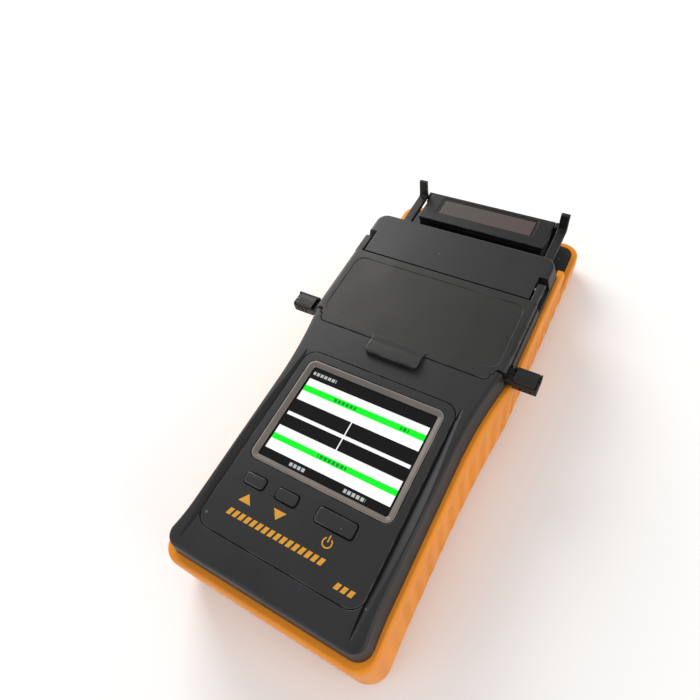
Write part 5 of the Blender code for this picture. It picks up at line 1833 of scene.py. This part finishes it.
# ---- Underside --------------------------------------------------------------------------------------------
@dataclass
class Underside:
    """Feet with ring grooves, socket screws, and the battery door with its grip ribs."""

    sides: int = 40

    def build(self) -> None:
        """Dress the underside."""
        self.feet()
        self.screws()
        self.door()

    def turned(self, name: str, profile: Sequence[Point]) -> Object:
        """A solid of revolution about the Z axis.

        Args:
            name: The object's name.
            profile: Radius and height, from the bottom of the axis to the top of it.

        Returns:
            The solid.
        """
        builder = bmesh.new()
        rings = []
        for radius, z in profile:
            turns = [2 * math.pi * i / self.sides for i in range(self.sides if radius > 1e-7 else 1)]
            rings.append([builder.verts.new((radius * math.cos(t), radius * math.sin(t), z)) for t in turns])
        for low, high in zip(rings, rings[1:]):
            for index in range(self.sides):
                after = (index + 1) % self.sides
                quad = [row[at % len(row)] for row, at in ((low, index), (low, after), (high, after), (high, index))]
                builder.faces.new(list(dict.fromkeys(quad)))
        bmesh.ops.recalc_face_normals(builder, faces=builder.faces)
        return wrap(name, builder)

    def scatter(self, name: str, shape: Object, nodes: Sequence[str], finish: Finish, slot: str, z: float) -> None:
        """Put a copy of a turned shape at each of four nodes, with a Geometry Nodes tree.

        Args:
            name: The piece's name.
            shape: The turned shape, which is used up.
            nodes: The nodes it stands for.
            finish: Its finish.
            slot: Its material slot.
            z: The height of the copies' origin.
        """
        boxes = [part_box(node) for node in nodes]
        xs = [(a.x + b.x) / 2 for a, b in boxes]
        ys = [(a.y + b.y) / 2 for a, b in boxes]
        recipe = Recipe(name, {"Width": max(xs) - min(xs), "Length": max(ys) - min(ys),
                               "Middle": (max(ys) + min(ys)) / 2, "Level": z})
        tree, size = recipe.tree, recipe.size
        grid = tree.node("GeometryNodeMeshGrid", inputs={"Size X": size("Width"), "Size Y": size("Length"),
                                                         "Vertices X": 2, "Vertices Y": 2})
        lift = tree.vector(0.0, size("Middle"), size("Level"))
        placed = tree.node("GeometryNodeSetPosition", inputs={"Geometry": grid, "Offset": lift})
        copies = tree.node("GeometryNodeInstanceOnPoints", inputs={"Points": placed, "Instance": recipe.geometry})
        result = recipe.bake(shape, copies, finish)
        result.name = name
        result.data.shade_smooth()
        result.data.set_sharp_from_angle(angle=math.radians(30))
        present(result, "case", slot, *nodes)

    def feet(self) -> None:
        """Rubber feet with a ring groove and a soft edge."""
        low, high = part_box("foot_front_left")
        radius, top, soft = (high.x - low.x) / 2, high.z, 0.0004
        turns = np.linspace(0, math.pi / 2, 5)
        edge = [(radius - soft + soft * math.sin(t), soft - soft * math.cos(t)) for t in turns]
        rings = [(0, 0.0003), (0.45, 0.0003), (0.48, 0.0), (0.75, 0.0), (0.78, 0.0003), (0.82, 0.0003), (0.85, 0.0)]
        profile = [*[(radius * share, z) for share, z in rings], *edge, (radius, top), (0, top)]
        nodes = [f"foot_{corner}" for corner in CORNERS]
        self.scatter("rubber_feet", self.turned("foot", profile), nodes, RUBBER, "rubber", 0.0)

    def screws(self) -> None:
        """Case screws with a hexagonal socket in the head."""
        low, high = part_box("case_screw_front_left")
        radius, shank, length = (high.x - low.x) / 2, 0.0015, high.z - low.z
        profile = [(0, 0.0), (radius - 0.0003, 0.0), (radius, 0.0003), (radius, 0.0016), (shank, 0.0016),
                   (shank, length - 0.001), (shank * 0.4, length), (0, length)]
        screw = self.turned("screw", profile)
        combine(screw, [bar("socket", (0, 0, -0.001), (0, 0, 0.0010), 0.0014, 6)])
        self.scatter("case_screws", screw, [f"case_screw_{c}" for c in CORNERS], STEEL, "steel", low.z)

    def door(self) -> None:
        """The battery door: a rounded plate with a thumb recess and pressed grip ribs."""
        low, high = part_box("battery_door")
        outline = rounded((low.x, high.x), (low.y, high.y), 0.0010, 4)
        door = slab("door_plate", outline, (low.z, high.z), 0.0, 0.0004)
        thumb = high.y - 0.012
        cuts = [bar("door_grip", (0, thumb, -0.01), (0, thumb, low.z + 0.0008), 0.006, 40)]
        cuts += [block(f"door_rib_{i}", (-0.020, 0.020), (low.y + 0.010 + i * 0.0035, low.y + 0.0112 + i * 0.0035),
                       (-0.01, low.z + 0.0005)) for i in range(7)]
        combine(door, cuts)
        present(polish(door, BLACK), "case", "black_plastic", "battery_door")


# ---- Studio -----------------------------------------------------------------------------------------------
@dataclass
class Studio:
    """Pale floor, soft lights and the camera."""

    eye: Vector = field(default_factory=lambda: Vector((0.08054, -0.12822, 0.26692)))
    right: Vector = field(default_factory=lambda: Vector((0.86558, 0.48121, -0.13861)))
    down: Vector = field(default_factory=lambda: Vector((0.33045, -0.75683, -0.56393)))
    focal: float = 550.17 / 700
    surround: float = 0.60
    floor_half: float = 6.0
    floor_tone: float = 0.95

    def build(self) -> None:
        """Set up the camera, the world, the floor and the lights."""
        self.camera()
        self.world()
        self.floor()
        self.light("key_panel", (-0.72, 0.58, 0.55), (0.0, 0.0, 0.03), 0.60, 9.0, (1.0, 0.98, 0.95))
        self.light("side_panel", (0.75, -0.10, 0.35), (0.0, 0.0, 0.03), 0.50, 2.0, (1.0, 0.97, 0.92))
        self.light("front_panel", (-0.35, -0.70, 0.45), (0.0, -0.05, 0.03), 0.60, 1.2, (0.86, 0.92, 1.0))
        bpy.context.scene.view_settings.view_transform = "Standard"

    def camera(self) -> None:
        """A camera at the eye, turned by its own right and down."""
        data = bpy.data.cameras.new("view")
        data.sensor_width, data.lens = 36.0, 36.0 * self.focal
        data.clip_start, data.clip_end = 0.01, 20.0
        camera = bpy.data.objects.new("view", data)
        bpy.context.scene.collection.objects.link(camera)
        x, y = self.right.normalized(), -self.down.normalized()
        z = x.cross(y).normalized()
        y = z.cross(x)
        camera.matrix_world = Matrix.Translation(self.eye) @ Matrix((x, y, z)).transposed().to_4x4()
        bpy.context.scene.camera = camera

    def world(self) -> None:
        """An even white surround."""
        world = bpy.data.worlds.new("surround")
        world.use_nodes = True
        bpy.context.scene.world = world
        background = world.node_tree.nodes["Background"]
        background.inputs["Color"].default_value = (1.0, 1.0, 1.0, 1.0)
        background.inputs["Strength"].default_value = self.surround

    def floor(self) -> None:
        """A wide pale floor."""
        builder = bmesh.new()
        bmesh.ops.create_grid(builder, x_segments=1, y_segments=1, size=self.floor_half)
        floor = wrap("studio_floor", builder)
        floor.location.z = -0.0002
        material = bpy.data.materials.new("studio_white")
        material.use_nodes = True
        shader = material.node_tree.nodes["Principled BSDF"]
        shader.inputs["Base Color"].default_value = (self.floor_tone, self.floor_tone, self.floor_tone, 1.0)
        shader.inputs["Roughness"].default_value = 0.9
        floor.data.materials.append(material)

    @staticmethod
    def light(name: str, place: Sequence[float], aim: Sequence[float], size: float, power: float,
              colour: Colour) -> None:
        """A square soft light.

        Args:
            name: The light's name.
            place: Where it hangs.
            aim: The point it faces.
            size: Its side.
            power: Its power in watts.
            colour: Its colour.
        """
        data = bpy.data.lights.new(name, "AREA")
        data.size, data.energy, data.color = size, power, colour
        lamp = bpy.data.objects.new(name, data)
        bpy.context.scene.collection.objects.link(lamp)
        lamp.location = place
        lamp.rotation_mode = "QUATERNION"
        lamp.rotation_quaternion = (Vector(place) - Vector(aim)).to_track_quat("Z", "Y")


def dress_nodes(frame: dict[str, object]) -> None:
    """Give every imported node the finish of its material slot.

    Args:
        frame: The loaded frame.
    """
    slots = {entry["node"]: entry["material_slot"] for entry in frame["record"]["subparts"]}
    for name, item in frame["nodes"].items():
        item.data.materials.clear()
        item.data.materials.append(SLOT_FINISHES[slots[name]].material())


def main() -> None:
    """Load the frame, build every sub-assembly and the studio, and note the sizes."""
    logging.basicConfig(level=logging.INFO, format="%(name)s: %(message)s")
    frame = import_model()
    dress_nodes(frame)
    LowerCase().build()
    UpperCase().build()
    Fascia().build()
    Keys().build()
    Display().build()
    WindCover().build()
    FibreHolder("left", -1).build()
    FibreHolder("right", 1).build()
    Oven().build()
    Underside().build()
    Studio().build()


if __name__ == "__main__":
    main()
